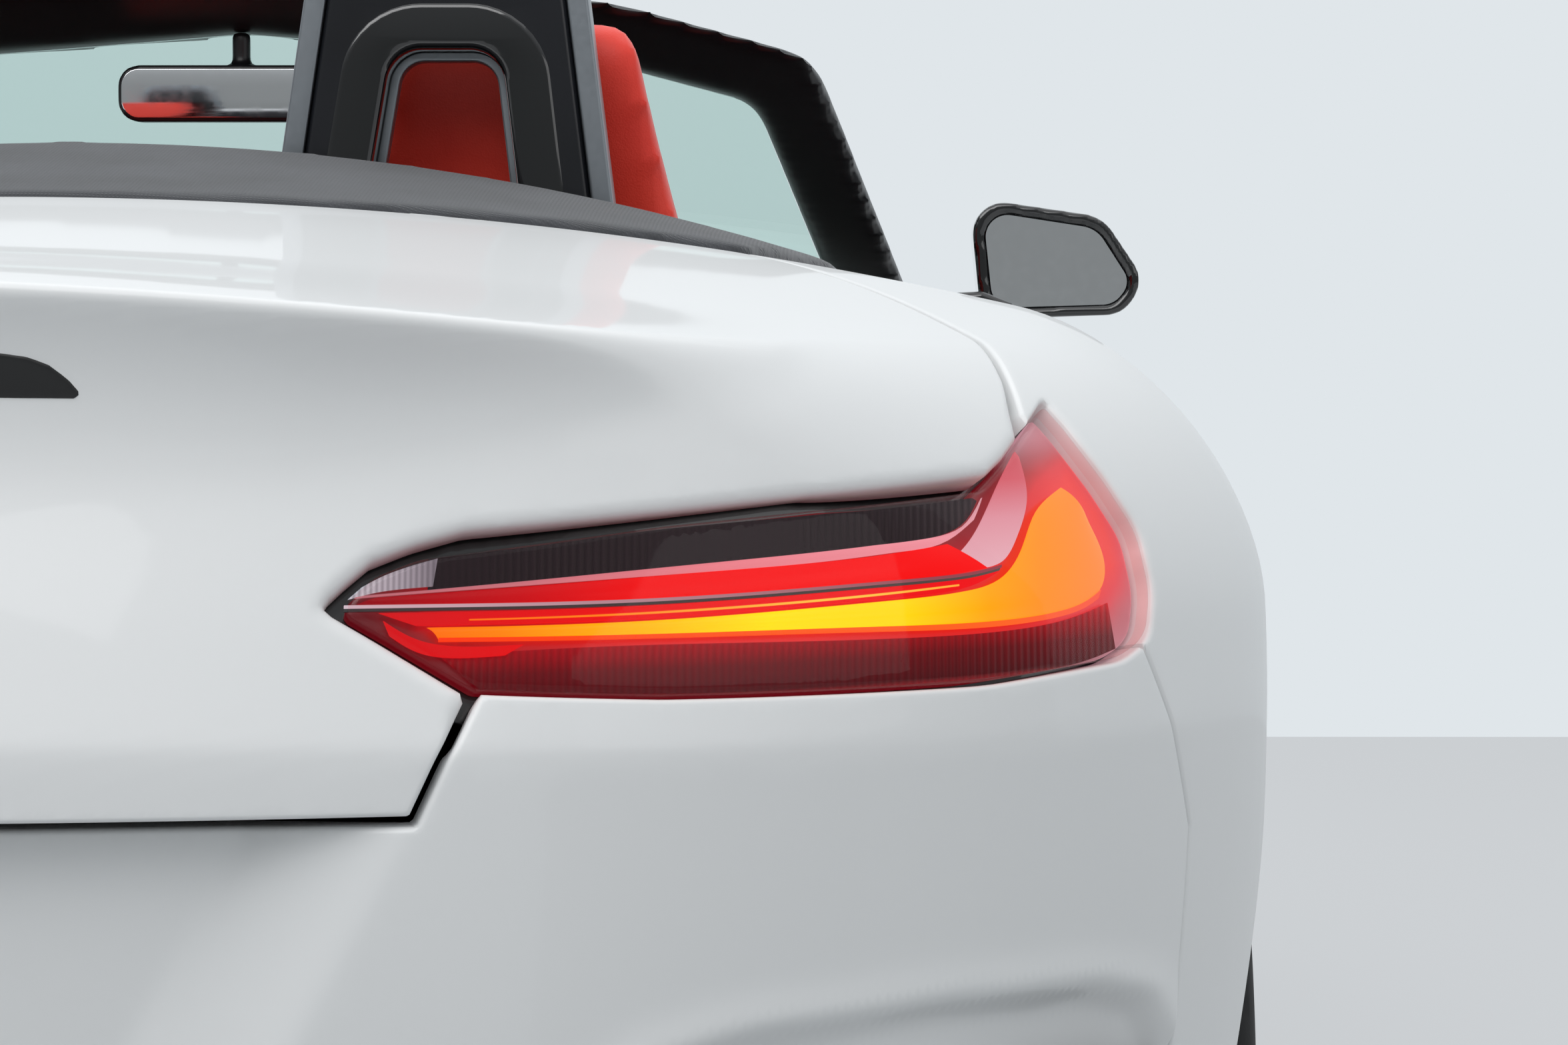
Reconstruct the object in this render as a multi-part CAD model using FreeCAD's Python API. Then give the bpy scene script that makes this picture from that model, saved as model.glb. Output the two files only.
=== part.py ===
"""Two-seat roadster convertible with its top folded away, built as separate body panels,
lamps, cabin pieces, wheels and running gear. Millimetres, +Y forward, +X to the right, +Z up,
origin on the floor under the middle of the car."""
import FreeCAD, Part
import math
import os

V = FreeCAD.Vector
OUT = "parts"

# Overall length and the gaps between pieces
LENGTH = 4324.0
HALF_LENGTH = LENGTH / 2
SHUT_GAP = 6.0            # shut line of every opening panel
SEAM_GAP = 0.8            # seam between fixed panels
SEAT_GAP = 0.3            # between a piece and what carries it
HOLLOW_GAP = 0.6          # between the body walls and what stands inside them

# Axles, wheels and brakes
FRONT_AXLE_Y = 1295.0
REAR_AXLE_Y = -1175.0
TYRE_R = 333.0
WHEEL_Z = TYRE_R
RIM_R = 244.0
RIM_WALL = 14.0
FRONT_TYRE_W = 245.0
REAR_TYRE_W = 270.0
FRONT_WHEEL_X = 768.0
REAR_WHEEL_X = 780.0
FRONT_ARCH_R = 382.0
REAR_ARCH_R = 374.0
LINER_T = 12.0
LINER_OUT_X = 822.0
KINGPIN_INSET = 58.0      # kingpin inboard of the wheel's middle
FRONT_WELL_X = 458.0      # inner wall of the front wheel housing
REAR_WELL_X = 600.0
DISC_R = 172.0
DISC_T = 28.0
STUB_R = 24.0
HUB_R = 78.0
SPOKES = 10
SPOKE_W = 26.0

# Where the body panels meet
BONNET_REAR_Y = 880.0     # at the middle of the car
BONNET_CORNER_Y = 800.0
BONNET_REAR_HALF = 690.0
BONNET_MID_HALF = 656.0   # its sides bow out through here
BONNET_MID_Y = 1335.0
BONNET_FRONT_HALF = 590.0
BONNET_FRONT_Y = 1990.0
BONNET_FRONT_Z = 700.0
BONNET_FRONT_LEAN = 0.3   # how far the front edge's face leans forward with height
BONNET_NOSE_BOW = 120.0
DOOR_FRONT_Y = 600.0
DOOR_REAR_Y = -640.0
DOOR_SLANT = 22.0         # how much shorter the door is at its inner side
DOOR_INNER_X = 735.0
DOOR_OUT_X = 885.0        # outermost skin at the door's front edge
SILL_TOP_Z = 232.0
WING_BUMPER_Y = 1700.0
QUARTER_BUMPER_Y = -1700.0
LID_FRONT_Y = -1205.0
LID_CORNER_Y = -1105.0
LID_CORNER_X = 550.0
LID_MID_X = 668.0
LID_MID_Y = -1440.0
LID_REAR_X = 743.0
LID_REAR_Y = -1880.0
LID_BOTTOM_Z = 652.0
LID_LOW_HALF = 340.0      # half width of the lid's thick lower wall between the lamps
LID_FLANGE_HALF = 390.0   # half width of its thin lower edge
LID_FLANGE_T = 14.0
CREASE_Z = 691.0
SEAM_LAMP_Y = -1862.0
SEAM_LAMP_Z = 722.0
SEAM_SIDE_Z = 600.0
CABIN_REAR_Y = -790.0
BULKHEAD_T = 34.0
FIREWALL_Y = 625.0
FIREWALL_T = 35.0
DIFFUSER_HALF = 655.0
DIFFUSER_TOP_Z = 358.0
DIFFUSER_FRONT_Y = -1905.0
DECK_SIDE_X = 684.0       # inner edge of the quarter beside the cabin's rear
DECK_SIDE_Y = -760.0
VENT_X = 846.0            # floor of the recess behind the front wheel
VENT_Y0, VENT_Y1 = 800.0, 862.0
VENT_Z0, VENT_Z1 = 330.0, 600.0

# Wall thicknesses
FLOOR_T = 34.0
ROOF_T = 26.0
BUMPER_T = 60.0
DOOR_T = 105.0
SIDE_T = 45.0
POST_T = 70.0

# Outer sections of the body along its length
# columns: y, half width at the waist, waist height, crown height, crown drop at the waist,
#          shoulder radius, half width at the sill, bottom height, side wall thickness
SECTIONS = [
    (2330.0, 790.0, 500.0, 560.0, 60.0, 60.0, 740.0, 175.0, SIDE_T),
    (2080.0, 850.0, 520.0, 672.0, 62.0, 90.0, 790.0, 165.0, SIDE_T),
    (1700.0, 889.0, 560.0, 790.0, 60.0, 110.0, 835.0, 150.0, SIDE_T),
    (1295.0, 905.0, 590.0, 872.0, 62.0, 115.0, 868.0, 150.0, SIDE_T),
    (850.0, 887.0, 610.0, 935.0, 82.0, 110.0, 862.0, 150.0, POST_T),
    (400.0, 877.0, 620.0, 980.0, 108.0, 100.0, 858.0, 150.0, DOOR_T),
    (-100.0, 878.0, 630.0, 1000.0, 118.0, 100.0, 860.0, 150.0, DOOR_T),
    (-600.0, 893.0, 640.0, 1015.0, 122.0, 110.0, 868.0, 150.0, DOOR_T),
    (-900.0, 917.0, 655.0, 1020.0, 124.0, 130.0, 885.0, 152.0, POST_T),
    (-1175.0, 932.0, 665.0, 1016.0, 126.0, 145.0, 893.0, 158.0, SIDE_T),
    (-1550.0, 912.0, 670.0, 986.0, 118.0, 150.0, 858.0, 172.0, SIDE_T),
    (-1900.0, 866.0, 672.0, 951.0, 100.0, 130.0, 800.0, 190.0, SIDE_T),
    (-2330.0, 790.0, 672.0, 905.0, 80.0, 100.0, 720.0, 215.0, SIDE_T),
]
SIDE_BULGE_R = 1500.0     # radius of the body side above the waist

# Outline of nose and tail from above: columns are height, nose y and tail y at the middle
LOWER_PLAN = [
    (100.0, 2040.0, -2035.0),
    (250.0, 2120.0, -2090.0),
    (420.0, 2158.0, -2138.0),
    (560.0, HALF_LENGTH, -2155.0),
    (CREASE_Z, 2135.0, -HALF_LENGTH),
]
UPPER_PLAN = [
    (CREASE_Z, 2135.0, -HALF_LENGTH),
    (760.0, 2110.0, -2146.0),
    (825.0, 2095.0, -2118.0),
    (870.0, 2085.0, -2098.0),
    (905.0, 2075.0, -2112.0),
    (930.0, 2070.0, -2142.0),
    (1250.0, 2070.0, -2150.0),
]
END_BOW_X = 600.0         # the bowed end reaches out to here
END_BOW = 112.0           # how far it has bowed back there
CORNER_X = 918.0          # the rounded corner ends here
CORNER_LEN = 440.0
CORNER_MID = (216.0, 168.0)
PLAN_SIDE_X = 1000.0
PLAN_SIDE_RUN = 150.0

# Right tail lamp seen from behind: columns are x, z, corner radius
LAMP_OUTLINE = [
    (349.0, 766.0, 8.0),
    (426.0, 717.0, 14.0),
    (770.0, 716.0, 40.0),
    (812.0, 748.0, 30.0),
    (786.0, 826.0, 60.0),
    (742.0, 873.0, 4.0),
    (706.0, 829.0, 10.0),
    (530.0, 813.0, 200.0),
    (372.0, 790.0, 12.0),
]
# Lower edge of the boot lid over that lamp: columns are x, z
LID_LAMP_EDGE = [(LID_LOW_HALF, 798.0), (372.0, 802.0), (530.0, 825.0), (700.0, 841.0), (740.0, 884.0)]

# Number plate's recess in the rear bumper: its right flank and its floor
PLATE_HALF = 393.0        # where the flank meets the bumper's face, just under the boot lid
PLATE_TOP_Z = 646.0
PLATE_LEAN = 0.58         # how much narrower it gets with height lost
PLATE_LOW_Z = 420.0
PLATE_DEPTH = 35.0
PLATE_FACE_Y = -2108.0    # the bumper's face at that flank
PLATE_FLANK = 1.37        # width of the sloping flank for its depth
PLATE_LOW_FLANK = 0.6

# High stop lamp under the lip, right half from behind: columns are x, z, corner radius
HIGH_STOP_OUTLINE = [(0.0, 902.0), (190.0, 902.0, 10.0), (214.0, 888.0, 10.0), (190.0, 874.0, 10.0),
                     (0.0, 874.0)]
HIGH_STOP_T = 14.0

# Windscreen
SCREEN_TOP_Y = 95.0       # glass at the header, in the middle
SCREEN_TOP_Z = 1290.0
SCREEN_RAKE = 27.0        # degrees above level
SCREEN_R = 2280.0         # its curve across the car
FRAME_T = 44.0
GLASS_T = 6.0
# Outer outline of the frame's right half from the front: columns are x, z, corner radius
SCREEN_OUTLINE = [(0.0, 1291.0, 0.0), (400.0, 1262.0, 300.0), (612.0, 1208.0, 60.0), (760.0, 880.0, 0.0)]
SCREEN_OPENING = [(0.0, 1236.0, 0.0), (380.0, 1208.0, 300.0), (548.0, 1166.0, 40.0), (672.0, 880.0, 0.0)]

# Right door mirror seen from behind: columns are x, z, corner radius
MIRROR_Y = 395.0
MIRROR_DEPTH = 9.0
MIRROR_OUTLINE = [(800.0, 930.0, 35.0), (786.0, 1068.0, 35.0), (936.0, 1046.0, 45.0), (984.0, 975.0, 45.0),
                  (960.0, 936.0, 35.0)]
MIRROR_RECESS = [(812.0, 942.0, 26.0), (800.0, 1054.0, 26.0), (930.0, 1034.0, 36.0), (970.0, 972.0, 36.0),
                 (950.0, 946.0, 28.0)]

# Cabin
SEAT_X = 352.0
SEAT_W = 470.0
# Seat seen from the side: columns are y, z, corner radius
SEAT_CUSHION = [(-560.0, 300.0), (-560.0, 420.0, 60.0), (-60.0, 465.0, 60.0), (30.0, 440.0, 60.0),
                (30.0, 320.0, 40.0), (-60.0, 290.0, 30.0)]
SEAT_BACK = [(-545.0, 400.0, 40.0), (-650.0, 800.0, 200.0), (-735.0, 1180.0, 35.0), (-665.0, 1192.0, 35.0),
             (-560.0, 900.0, 200.0), (-420.0, 420.0, 60.0)]
SEAT_SHOULDERS = [(150.0, 990.0, 100.0), (95.0, 1200.0, 55.0)]   # from the seat's middle: x, z, corner radius
SEAT_HIP_Z = 820.0
SEAT_RAIL_X = 190.0
SEAT_RAIL_W = 44.0
STEER_Y = 160.0
STEER_Z = 790.0
COLUMN_TILT = 24.0
# Dashboard and hood over the instruments seen from the side: columns are y, z, corner radius
DASH_Y, DASH_Z = 335.0, 560.0
DASH_OUTLINE = [(DASH_Y, 640.0, 30.0), (300.0, 730.0, 40.0), (350.0, 880.0, 50.0), (460.0, 925.0, 40.0),
                (FIREWALL_Y - SEAT_GAP, 935.0), (FIREWALL_Y - SEAT_GAP, DASH_Z), (470.0, DASH_Z, 60.0)]
HOOD_OUTLINE = [(330.0, 860.0, 20.0), (330.0, 945.0, 25.0), (520.0, 945.0, 40.0), (560.0, 860.0)]
HOOD_HALF = 170.0
STEER_R = 180.0
STEER_GRIP_R = 16.0
STEER_SPOKE_R = 12.0
BOSS_R = 46.0
BOSS_RUN = 34.0           # how far the wheel's boss reaches down the column
COLUMN_R = 32.0
COLUMN_RUN = 330.0
HOOP_Y = -800.0
HOOP_T = 62.0
# Right roll hoop from behind: columns are x, z, corner radius
HOOP_OUTLINE = [(150.0, 966.0, 0.0), (192.0, 1246.0, 55.0), (414.0, 1246.0, 55.0), (448.0, 966.0, 0.0)]
HOOP_HOLE = [(232.0, 1010.0, 20.0), (256.0, 1150.0, 30.0), (348.0, 1150.0, 30.0), (364.0, 1010.0, 20.0)]
# Cloth cover over the folded top: columns are y, height at the middle, radius across the car
COVER_SECTIONS = [(-1230.0, 1012.0, 3500.0), (-1040.0, 1046.0, 2600.0), (-895.0, 1071.0, 2000.0),
                  (-850.0, 1052.0, 2000.0)]
COVER_T = 60.0
FLOOR_TOP_Z = 150.0 + FLOOR_T
TUNNEL_HALF = 105.0
TUNNEL_Z = 370.0
# Top of the console seen from the side: columns are y, z, corner radius
CONSOLE_REAR_Y = -730.0
CONSOLE_TOP = [(CONSOLE_REAR_Y, 500.0, 40.0), (-300.0, 505.0, 30.0), (-180.0, 455.0, 40.0),
               (200.0, 470.0, 60.0), (299.0, 640.0, 20.0)]
LEVER_FOOT, LEVER_TOP = (0.0, 20.0, 455.0), (0.0, 37.0, 552.0)
LEVER_KNOB_R = 28.0
BOOT_FLOOR_Z = 430.0
BOOT_FLOOR_T = 25.0
SHELF_Z = 966.0
SHELF_T = 40.0
SHELF_HALF = 45.0         # the shelf's reach before and behind the roll hoops' middle
JACK_PAD_X = 760.0        # four pads under the sills
JACK_PAD_Y = (520.0, -560.0)
JACK_PAD_Z = 136.0
INNER_SILL_X = 690.0
INNER_SILL_Z = 340.0
TRIM_HALF = 728.0         # half width of what stands between the doors

# Running gear
GRILLE_BARS = [70.0 * i - 385.0 for i in range(12)]
GRILLE_BAR_W = 12.0
GRILLE_OUTLINE = [(430.0, 300.0, 40.0), (470.0, 470.0, 60.0)]   # its right corners: x, z, radius
GRILLE_REAR_Y = 1900.0
GRILLE_RIM = 24.0
# Right headlamp from the front: columns are x, z, corner radius
HEADLAMP_OUTLINE = [(520.0, 566.0, 20.0), (560.0, 648.0, 20.0), (900.0, 740.0, 20.0), (900.0, 612.0, 20.0)]
HEADLAMP_REAR_Y = 1721.0
RAIL_X = 400.0
RAIL_OUT_X = 446.0
RAIL_Z = 540.0
RAIL_H = 60.0
SLAM_Y = 1930.0
BONNET_STOP_X = 180.0
BONNET_STOP_R = 14.0
SUBFRAME_X = 380.0
ARM_R = 12.0
ARM_SPREAD = 120.0
EYE_R = 27.0
EYE_H = 24.0
BALL_PIN_R = 10.0
KNUCKLE_LOW_Z = 192.0
KNUCKLE_TOP_Z = 480.0
EYE_GAP = 5.0
REAR_TOP_EYE_Z = 425.0
TIP_X = 560.0
TIP_Z = 300.0
TIP_R = 46.0
TIP_END_Y = -2062.0
SILENCER_Y = -1900.0


def box(x0, x1, y0, y1, z0, z1):
    return Part.makeBox(x1 - x0, y1 - y0, z1 - z0, V(x0, y0, z0))


def cyl_x(x0, x1, y, z, r):
    return Part.makeCylinder(r, x1 - x0, V(x0, y, z), V(1, 0, 0))


def cyl_between(a, b, r):
    a, b = V(*a), V(*b)
    return Part.makeCylinder(r, (b - a).Length, a, b - a)


def ring_x(x0, x1, y, z, r_in, r_out):
    return cyl_x(x0, x1, y, z, r_out).cut(cyl_x(x0 - 1, x1 + 1, y, z, r_in))


def rounded_face(points, place, radius=0.0):
    """Flat face from corner points (u, v) or (u, v, radius), each corner an arc of its radius."""
    corners = [(p[0], p[1], p[2] if len(p) > 2 else radius) for p in points]
    stations = []
    for i, (u, v, r) in enumerate(corners):
        before, after = corners[i - 1], corners[(i + 1) % len(corners)]
        a = (before[0] - u, before[1] - v)
        b = (after[0] - u, after[1] - v)
        la, lb = math.hypot(*a), math.hypot(*b)
        a = (a[0] / la, a[1] / la)
        b = (b[0] / lb, b[1] / lb)
        half = math.acos(max(-1.0, min(1.0, a[0] * b[0] + a[1] * b[1]))) / 2
        if r <= 0 or half > math.pi / 2 - 1e-3:
            stations.append(((u, v), None, (u, v)))
            continue
        run = min(r / math.tan(half), 0.48 * la, 0.48 * lb)
        r = run * math.tan(half)
        bis = (a[0] + b[0], a[1] + b[1])
        lbis = math.hypot(*bis)
        reach = r / math.sin(half)
        mid = (u + bis[0] / lbis * (reach - r), v + bis[1] / lbis * (reach - r))
        stations.append(((u + a[0] * run, v + a[1] * run), mid, (u + b[0] * run, v + b[1] * run)))
    edges = []
    for i, (start, mid, end) in enumerate(stations):
        if mid:
            edges.append(Part.Arc(place(*start), place(*mid), place(*end)).toShape())
        following = stations[(i + 1) % len(stations)][0]
        if math.hypot(following[0] - end[0], following[1] - end[1]) > 1e-6:
            edges.append(Part.LineSegment(place(*end), place(*following)).toShape())
    return Part.Face(Part.Wire(edges))


def prism_xy(points, z0, z1, radius=0.0):
    return rounded_face(points, lambda u, v: V(u, v, z0), radius).extrude(V(0, 0, z1 - z0))


def prism_xz(points, y0, y1, radius=0.0):
    return rounded_face(points, lambda u, v: V(u, y0, v), radius).extrude(V(0, y1 - y0, 0))


def prism_yz(points, x0, x1, radius=0.0):
    return rounded_face(points, lambda u, v: V(x0, u, v), radius).extrude(V(x1 - x0, 0, 0))


def mirrored(shape):
    return shape.mirror(V(0, 0, 0), V(1, 0, 0))


def both_halves(points):
    """A right half outline from the middle, closed over the left side too."""
    left = [(-p[0],) + tuple(p[1:]) for p in reversed(points) if p[0] > 0]
    return list(points) + left


def fused(*shapes):
    whole = shapes[0]
    for shape in shapes[1:]:
        whole = whole.fuse(shape)
    return whole.removeSplitter()


def save(name, *shapes):
    """Writes one named piece as its closed solids."""
    flat = [s for one in shapes for s in one.Solids if s.Volume > 1500.0]
    if not flat:
        raise RuntimeError(name + " has no solid")
    whole = flat[0] if len(flat) == 1 else Part.makeCompound(flat)
    whole.exportStep(os.path.join(OUT, name + ".step"))
    faults = [s for s in flat if not s.isValid()]
    litres = sum(s.Volume for s in flat) / 1e6
    print(name, len(flat), "solids", round(litres, 2), "litres", "INVALID" if faults else "")


def save_pair(name, right):
    save(name + "_right", right)
    save(name + "_left", mirrored(right))


def circle_meet(c1, r1, c2, r2):
    """The meeting point of two circles that lies further right."""
    dx, dz = c2[0] - c1[0], c2[1] - c1[1]
    d = math.hypot(dx, dz)
    a = (r1 * r1 - r2 * r2 + d * d) / (2 * d)
    h = math.sqrt(max(r1 * r1 - a * a, 0.0))
    mid = (c1[0] + a * dx / d, c1[1] + a * dz / d)
    options = [(mid[0] + s * h * dz / d, mid[1] - s * h * dx / d) for s in (1, -1)]
    return max(options, key=lambda p: p[0])


def section_wire(y, half_w, waist_z, crown_z, drop, shoulder_r, sill_w, bottom_z):
    """Closed section: flat bottom, lower side arc, upper side arc, shoulder arc, crown arc, mirrored."""
    crown_r = (half_w ** 2 + drop ** 2) / (2 * drop)
    crown_c = (0.0, crown_z - crown_r)
    side_c = (half_w - SIDE_BULGE_R, waist_z)
    fillet_c = circle_meet(crown_c, crown_r - shoulder_r, side_c, SIDE_BULGE_R - shoulder_r)

    def on(centre, radius, toward):
        dx, dz = toward[0] - centre[0], toward[1] - centre[1]
        d = math.hypot(dx, dz)
        return (centre[0] + dx / d * radius, centre[1] + dz / d * radius)

    def arc(centre, radius, a, b):
        mid = on(centre, radius, ((a[0] + b[0]) / 2, (a[1] + b[1]) / 2))
        return a, mid, b

    shoulder_top = on(crown_c, crown_r, fillet_c)
    shoulder_low = on(side_c, SIDE_BULGE_R, fillet_c)
    low_r = ((half_w - sill_w) ** 2 + (waist_z - bottom_z) ** 2) / (2 * (half_w - sill_w))
    low_c = (half_w - low_r, waist_z)
    waist, sill, crown = (half_w, waist_z), (sill_w, bottom_z), (0.0, crown_z)
    right = [
        arc(low_c, low_r, sill, waist),
        arc(side_c, SIDE_BULGE_R, waist, shoulder_low),
        arc(fillet_c, shoulder_r, shoulder_low, shoulder_top),
        arc(crown_c, crown_r, shoulder_top, crown),
    ]
    edges = [Part.LineSegment(V(0, y, bottom_z), V(sill[0], y, bottom_z)).toShape()]
    for a, m, b in right:
        edges.append(Part.Arc(*[V(p[0], y, p[1]) for p in (a, m, b)]).toShape())
    for a, m, b in reversed(right):
        edges.append(Part.Arc(*[V(-p[0], y, p[1]) for p in (b, m, a)]).toShape())
    edges.append(Part.LineSegment(V(-sill[0], y, bottom_z), V(0, y, bottom_z)).toShape())
    return Part.Wire(edges)


def body_loft(inside=False, gap=0.0):
    """The body's outside, or the hollow inside its walls, less a gap."""
    wires = []
    for y, half_w, waist_z, crown_z, drop, radius, sill_w, bottom_z, wall in SECTIONS:
        if inside:
            inset = wall + gap
            wires.append(section_wire(y, half_w - inset, waist_z, crown_z - ROOF_T - gap, drop,
                                      max(radius - inset, 30.0), sill_w - inset,
                                      bottom_z + FLOOR_T + min(gap, SEAT_GAP)))
        else:
            wires.append(section_wire(y, half_w, waist_z, crown_z, drop, radius, sill_w, bottom_z))
    return Part.makeLoft(wires, True, False)


def plan_wire(z, nose, tail, inset=0.0):
    """Outline from above: bowed nose and tail, rounded corners and straight sides."""
    def line(a, b):
        return Part.LineSegment(V(*a, z), V(*b, z)).toShape()

    def arc(a, b, c):
        return Part.Arc(V(*a, z), V(*b, z), V(*c, z)).toShape()

    def end(middle, way):
        """Corner points of one end, from its bow to the straight side."""
        bow = (END_BOW_X, middle - way * END_BOW)
        mid = (END_BOW_X + CORNER_MID[0], bow[1] - way * CORNER_MID[1])
        turn = (CORNER_X, bow[1] - way * CORNER_LEN)
        side = (PLAN_SIDE_X, turn[1] - way * PLAN_SIDE_RUN)
        return bow, mid, turn, side

    def left(p):
        return (-p[0], p[1])

    n_bow, n_mid, n_turn, n_side = end(nose - inset, 1)
    t_bow, t_mid, t_turn, t_side = end(tail + inset, -1)
    edges = [
        arc(left(t_bow), (0, tail + inset), t_bow),
        arc(t_bow, t_mid, t_turn),
        line(t_turn, t_side),
        line(t_side, n_side),
        line(n_side, n_turn),
        arc(n_turn, n_mid, n_bow),
        arc(n_bow, (0, nose - inset), left(n_bow)),
        arc(left(n_bow), left(n_mid), left(n_turn)),
        line(left(n_turn), left(n_side)),
        line(left(n_side), left(t_side)),
        line(left(t_side), left(t_turn)),
        arc(left(t_turn), left(t_mid), left(t_bow)),
    ]
    return Part.Wire(edges)


def plan_solid(inset=0.0):
    lower = Part.makeLoft([plan_wire(*row, inset) for row in LOWER_PLAN], True, False)
    upper = Part.makeLoft([plan_wire(*row, inset) for row in UPPER_PLAN], True, False)
    return lower.fuse(upper)


def arc_prism(outline, z0, z1):
    """Prism up from z0 over a closed outline of straight lines (2 points) and arcs (3 points)."""
    return Part.Face(arc_wire(outline, z0)).extrude(V(0, 0, z1 - z0))


def arc_wire(outline, z):
    """Closed wire at height z from straight lines (2 points) and arcs (3 points)."""
    edges = []
    for points in outline:
        spots = [V(x, y, z) for x, y in points]
        kind = Part.LineSegment if len(spots) == 2 else Part.Arc
        edges.append(kind(*spots).toShape())
    return Part.Wire(edges)


def bonnet_region(grow=0.0):
    """What the bonnet covers seen from above; its front edge leans so that it clears the nose."""
    rear, corner = BONNET_REAR_Y - grow, BONNET_CORNER_Y - grow
    wide, mid, narrow = BONNET_REAR_HALF + grow, BONNET_MID_HALF + grow, BONNET_FRONT_HALF + grow
    wires = []
    for z in (BONNET_FRONT_Z - 280.0, BONNET_FRONT_Z + 500.0):
        front = BONNET_FRONT_Y + grow + BONNET_FRONT_LEAN * (z - BONNET_FRONT_Z)
        shoulder = front - BONNET_NOSE_BOW
        wires.append(arc_wire([
            [(-wide, corner), (0, rear), (wide, corner)],
            [(wide, corner), (mid, BONNET_MID_Y), (narrow, shoulder)],
            [(narrow, shoulder), (0, front), (-narrow, shoulder)],
            [(-narrow, shoulder), (-mid, BONNET_MID_Y), (-wide, corner)],
        ], z))
    return Part.makeLoft(wires, True, True)


def cowl_region(grow=0.0):
    """What the cowl panel covers seen from above, between the bonnet, the wings and the screen."""
    rear, corner = BONNET_REAR_Y - SHUT_GAP, BONNET_CORNER_Y - SHUT_GAP
    half, low = BONNET_REAR_HALF + SHUT_GAP, DOOR_FRONT_Y + SHUT_GAP - grow
    wide = half + grow
    return arc_prism([
        [(-wide, low), (wide, low)],
        [(wide, low), (wide, corner)],
        [(wide, corner), (0, rear), (-wide, corner)],
        [(-wide, corner), (-wide, low)],
    ], 700.0, 1200.0)


def lid_region(grow=0.0):
    """What the boot lid covers seen from above, down to its lower edge."""
    front, corner_y, corner_x = LID_FRONT_Y + grow, LID_CORNER_Y + grow, LID_CORNER_X + grow
    mid_x, rear_x = LID_MID_X + grow, LID_REAR_X + grow
    back = -HALF_LENGTH - 60
    return arc_prism([
        [(corner_x, corner_y), (0, front), (-corner_x, corner_y)],
        [(-corner_x, corner_y), (-mid_x, LID_MID_Y), (-rear_x, LID_REAR_Y)],
        [(-rear_x, LID_REAR_Y), (-rear_x, back)],
        [(-rear_x, back), (rear_x, back)],
        [(rear_x, back), (rear_x, LID_REAR_Y)],
        [(rear_x, LID_REAR_Y), (mid_x, LID_MID_Y), (corner_x, corner_y)],
    ], LID_BOTTOM_Z - grow, 1200.0)


def lamp_prism(grow=0.0):
    """Prism through the body along the right lamp's outline, grown outwards."""
    back = -HALF_LENGTH - 40
    face = rounded_face(LAMP_OUTLINE, lambda u, v: V(u, back, v))
    if grow:
        face = face.makeOffset2D(grow)
    return face.extrude(V(0, -1620.0 - back, 0))


def below_lid(grow=0.0):
    """Right side of the space under the boot lid's lower edge, past the wall between the lamps."""
    edge = [(x + grow, z - grow) for x, z in LID_LAMP_EDGE]
    low = LID_BOTTOM_Z - 60
    return prism_xz([(edge[0][0], low)] + edge + [(960.0, edge[-1][1]), (960.0, low)],
                    -HALF_LENGTH - 80, -1000.0)


def arch_cuts():
    front = cyl_x(FRONT_WELL_X, 1100, FRONT_AXLE_Y, WHEEL_Z, FRONT_ARCH_R)
    rear = cyl_x(REAR_WELL_X, 1100, REAR_AXLE_Y, WHEEL_Z, REAR_ARCH_R)
    right = front.fuse(rear)
    return right.fuse(mirrored(right))


os.makedirs(OUT, exist_ok=True)

# Body as one hollow shell, before it is split into panels
outer = body_loft().common(plan_solid())
hollow = body_loft(inside=True).common(plan_solid(BUMPER_T))
inside = body_loft(inside=True, gap=HOLLOW_GAP).common(plan_solid(BUMPER_T + HOLLOW_GAP))
flange_shell = outer.cut(plan_solid(LID_FLANGE_T))
shell = outer.cut(hollow).cut(arch_cuts())
right_shell = shell.common(box(0, 1200, -2400, 2400, 0, 1300))
print("body", round(outer.Volume / 1e9, 3), "shell", round(shell.Volume / 1e9, 4), shell.isValid())


def bonnet_and_wings():
    save("bonnet", shell.common(bonnet_region()))
    opening = bonnet_region(SHUT_GAP)
    side = box(DOOR_INNER_X, 1200, DOOR_FRONT_Y + SHUT_GAP, WING_BUMPER_Y, SILL_TOP_Z + SEAM_GAP, 1300)
    top = box(500, 1200, DOOR_FRONT_Y + SHUT_GAP, WING_BUMPER_Y, 700, 1300)
    wing = right_shell.common(side.fuse(top)).cut(opening).cut(cowl_region(SEAM_GAP))
    leaf_y = DOOR_FRONT_Y + SEAT_GAP
    for low in (360.0, 620.0):
        wing = wing.fuse(box(795, 850, leaf_y, DOOR_FRONT_Y + 30, low, low + 90))
    save_pair("front_wing", wing.cut(box(VENT_X, 1000, VENT_Y0, VENT_Y1, VENT_Z0, VENT_Z1)))
    save("cowl_panel", shell.common(cowl_region()))


def doors():
    slanted = [(DOOR_INNER_X, DOOR_REAR_Y + DOOR_SLANT), (DOOR_OUT_X + 15, DOOR_REAR_Y),
               (1100, DOOR_REAR_Y), (1100, DOOR_FRONT_Y), (DOOR_INNER_X, DOOR_FRONT_Y)]
    save_pair("door", right_shell.common(prism_xy(slanted, SILL_TOP_Z + SHUT_GAP, 1300)))


def high_stop_room(grow=0.0):
    """Space of the high stop lamp under the lid's rear lip."""
    outline = rounded_face(both_halves(HIGH_STOP_OUTLINE), lambda u, v: V(u, -HALF_LENGTH - 10, v))
    if grow:
        outline = outline.makeOffset2D(grow)
    return outline.extrude(V(0, 120, 0)).cut(plan_solid(HIGH_STOP_T + grow))


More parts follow.
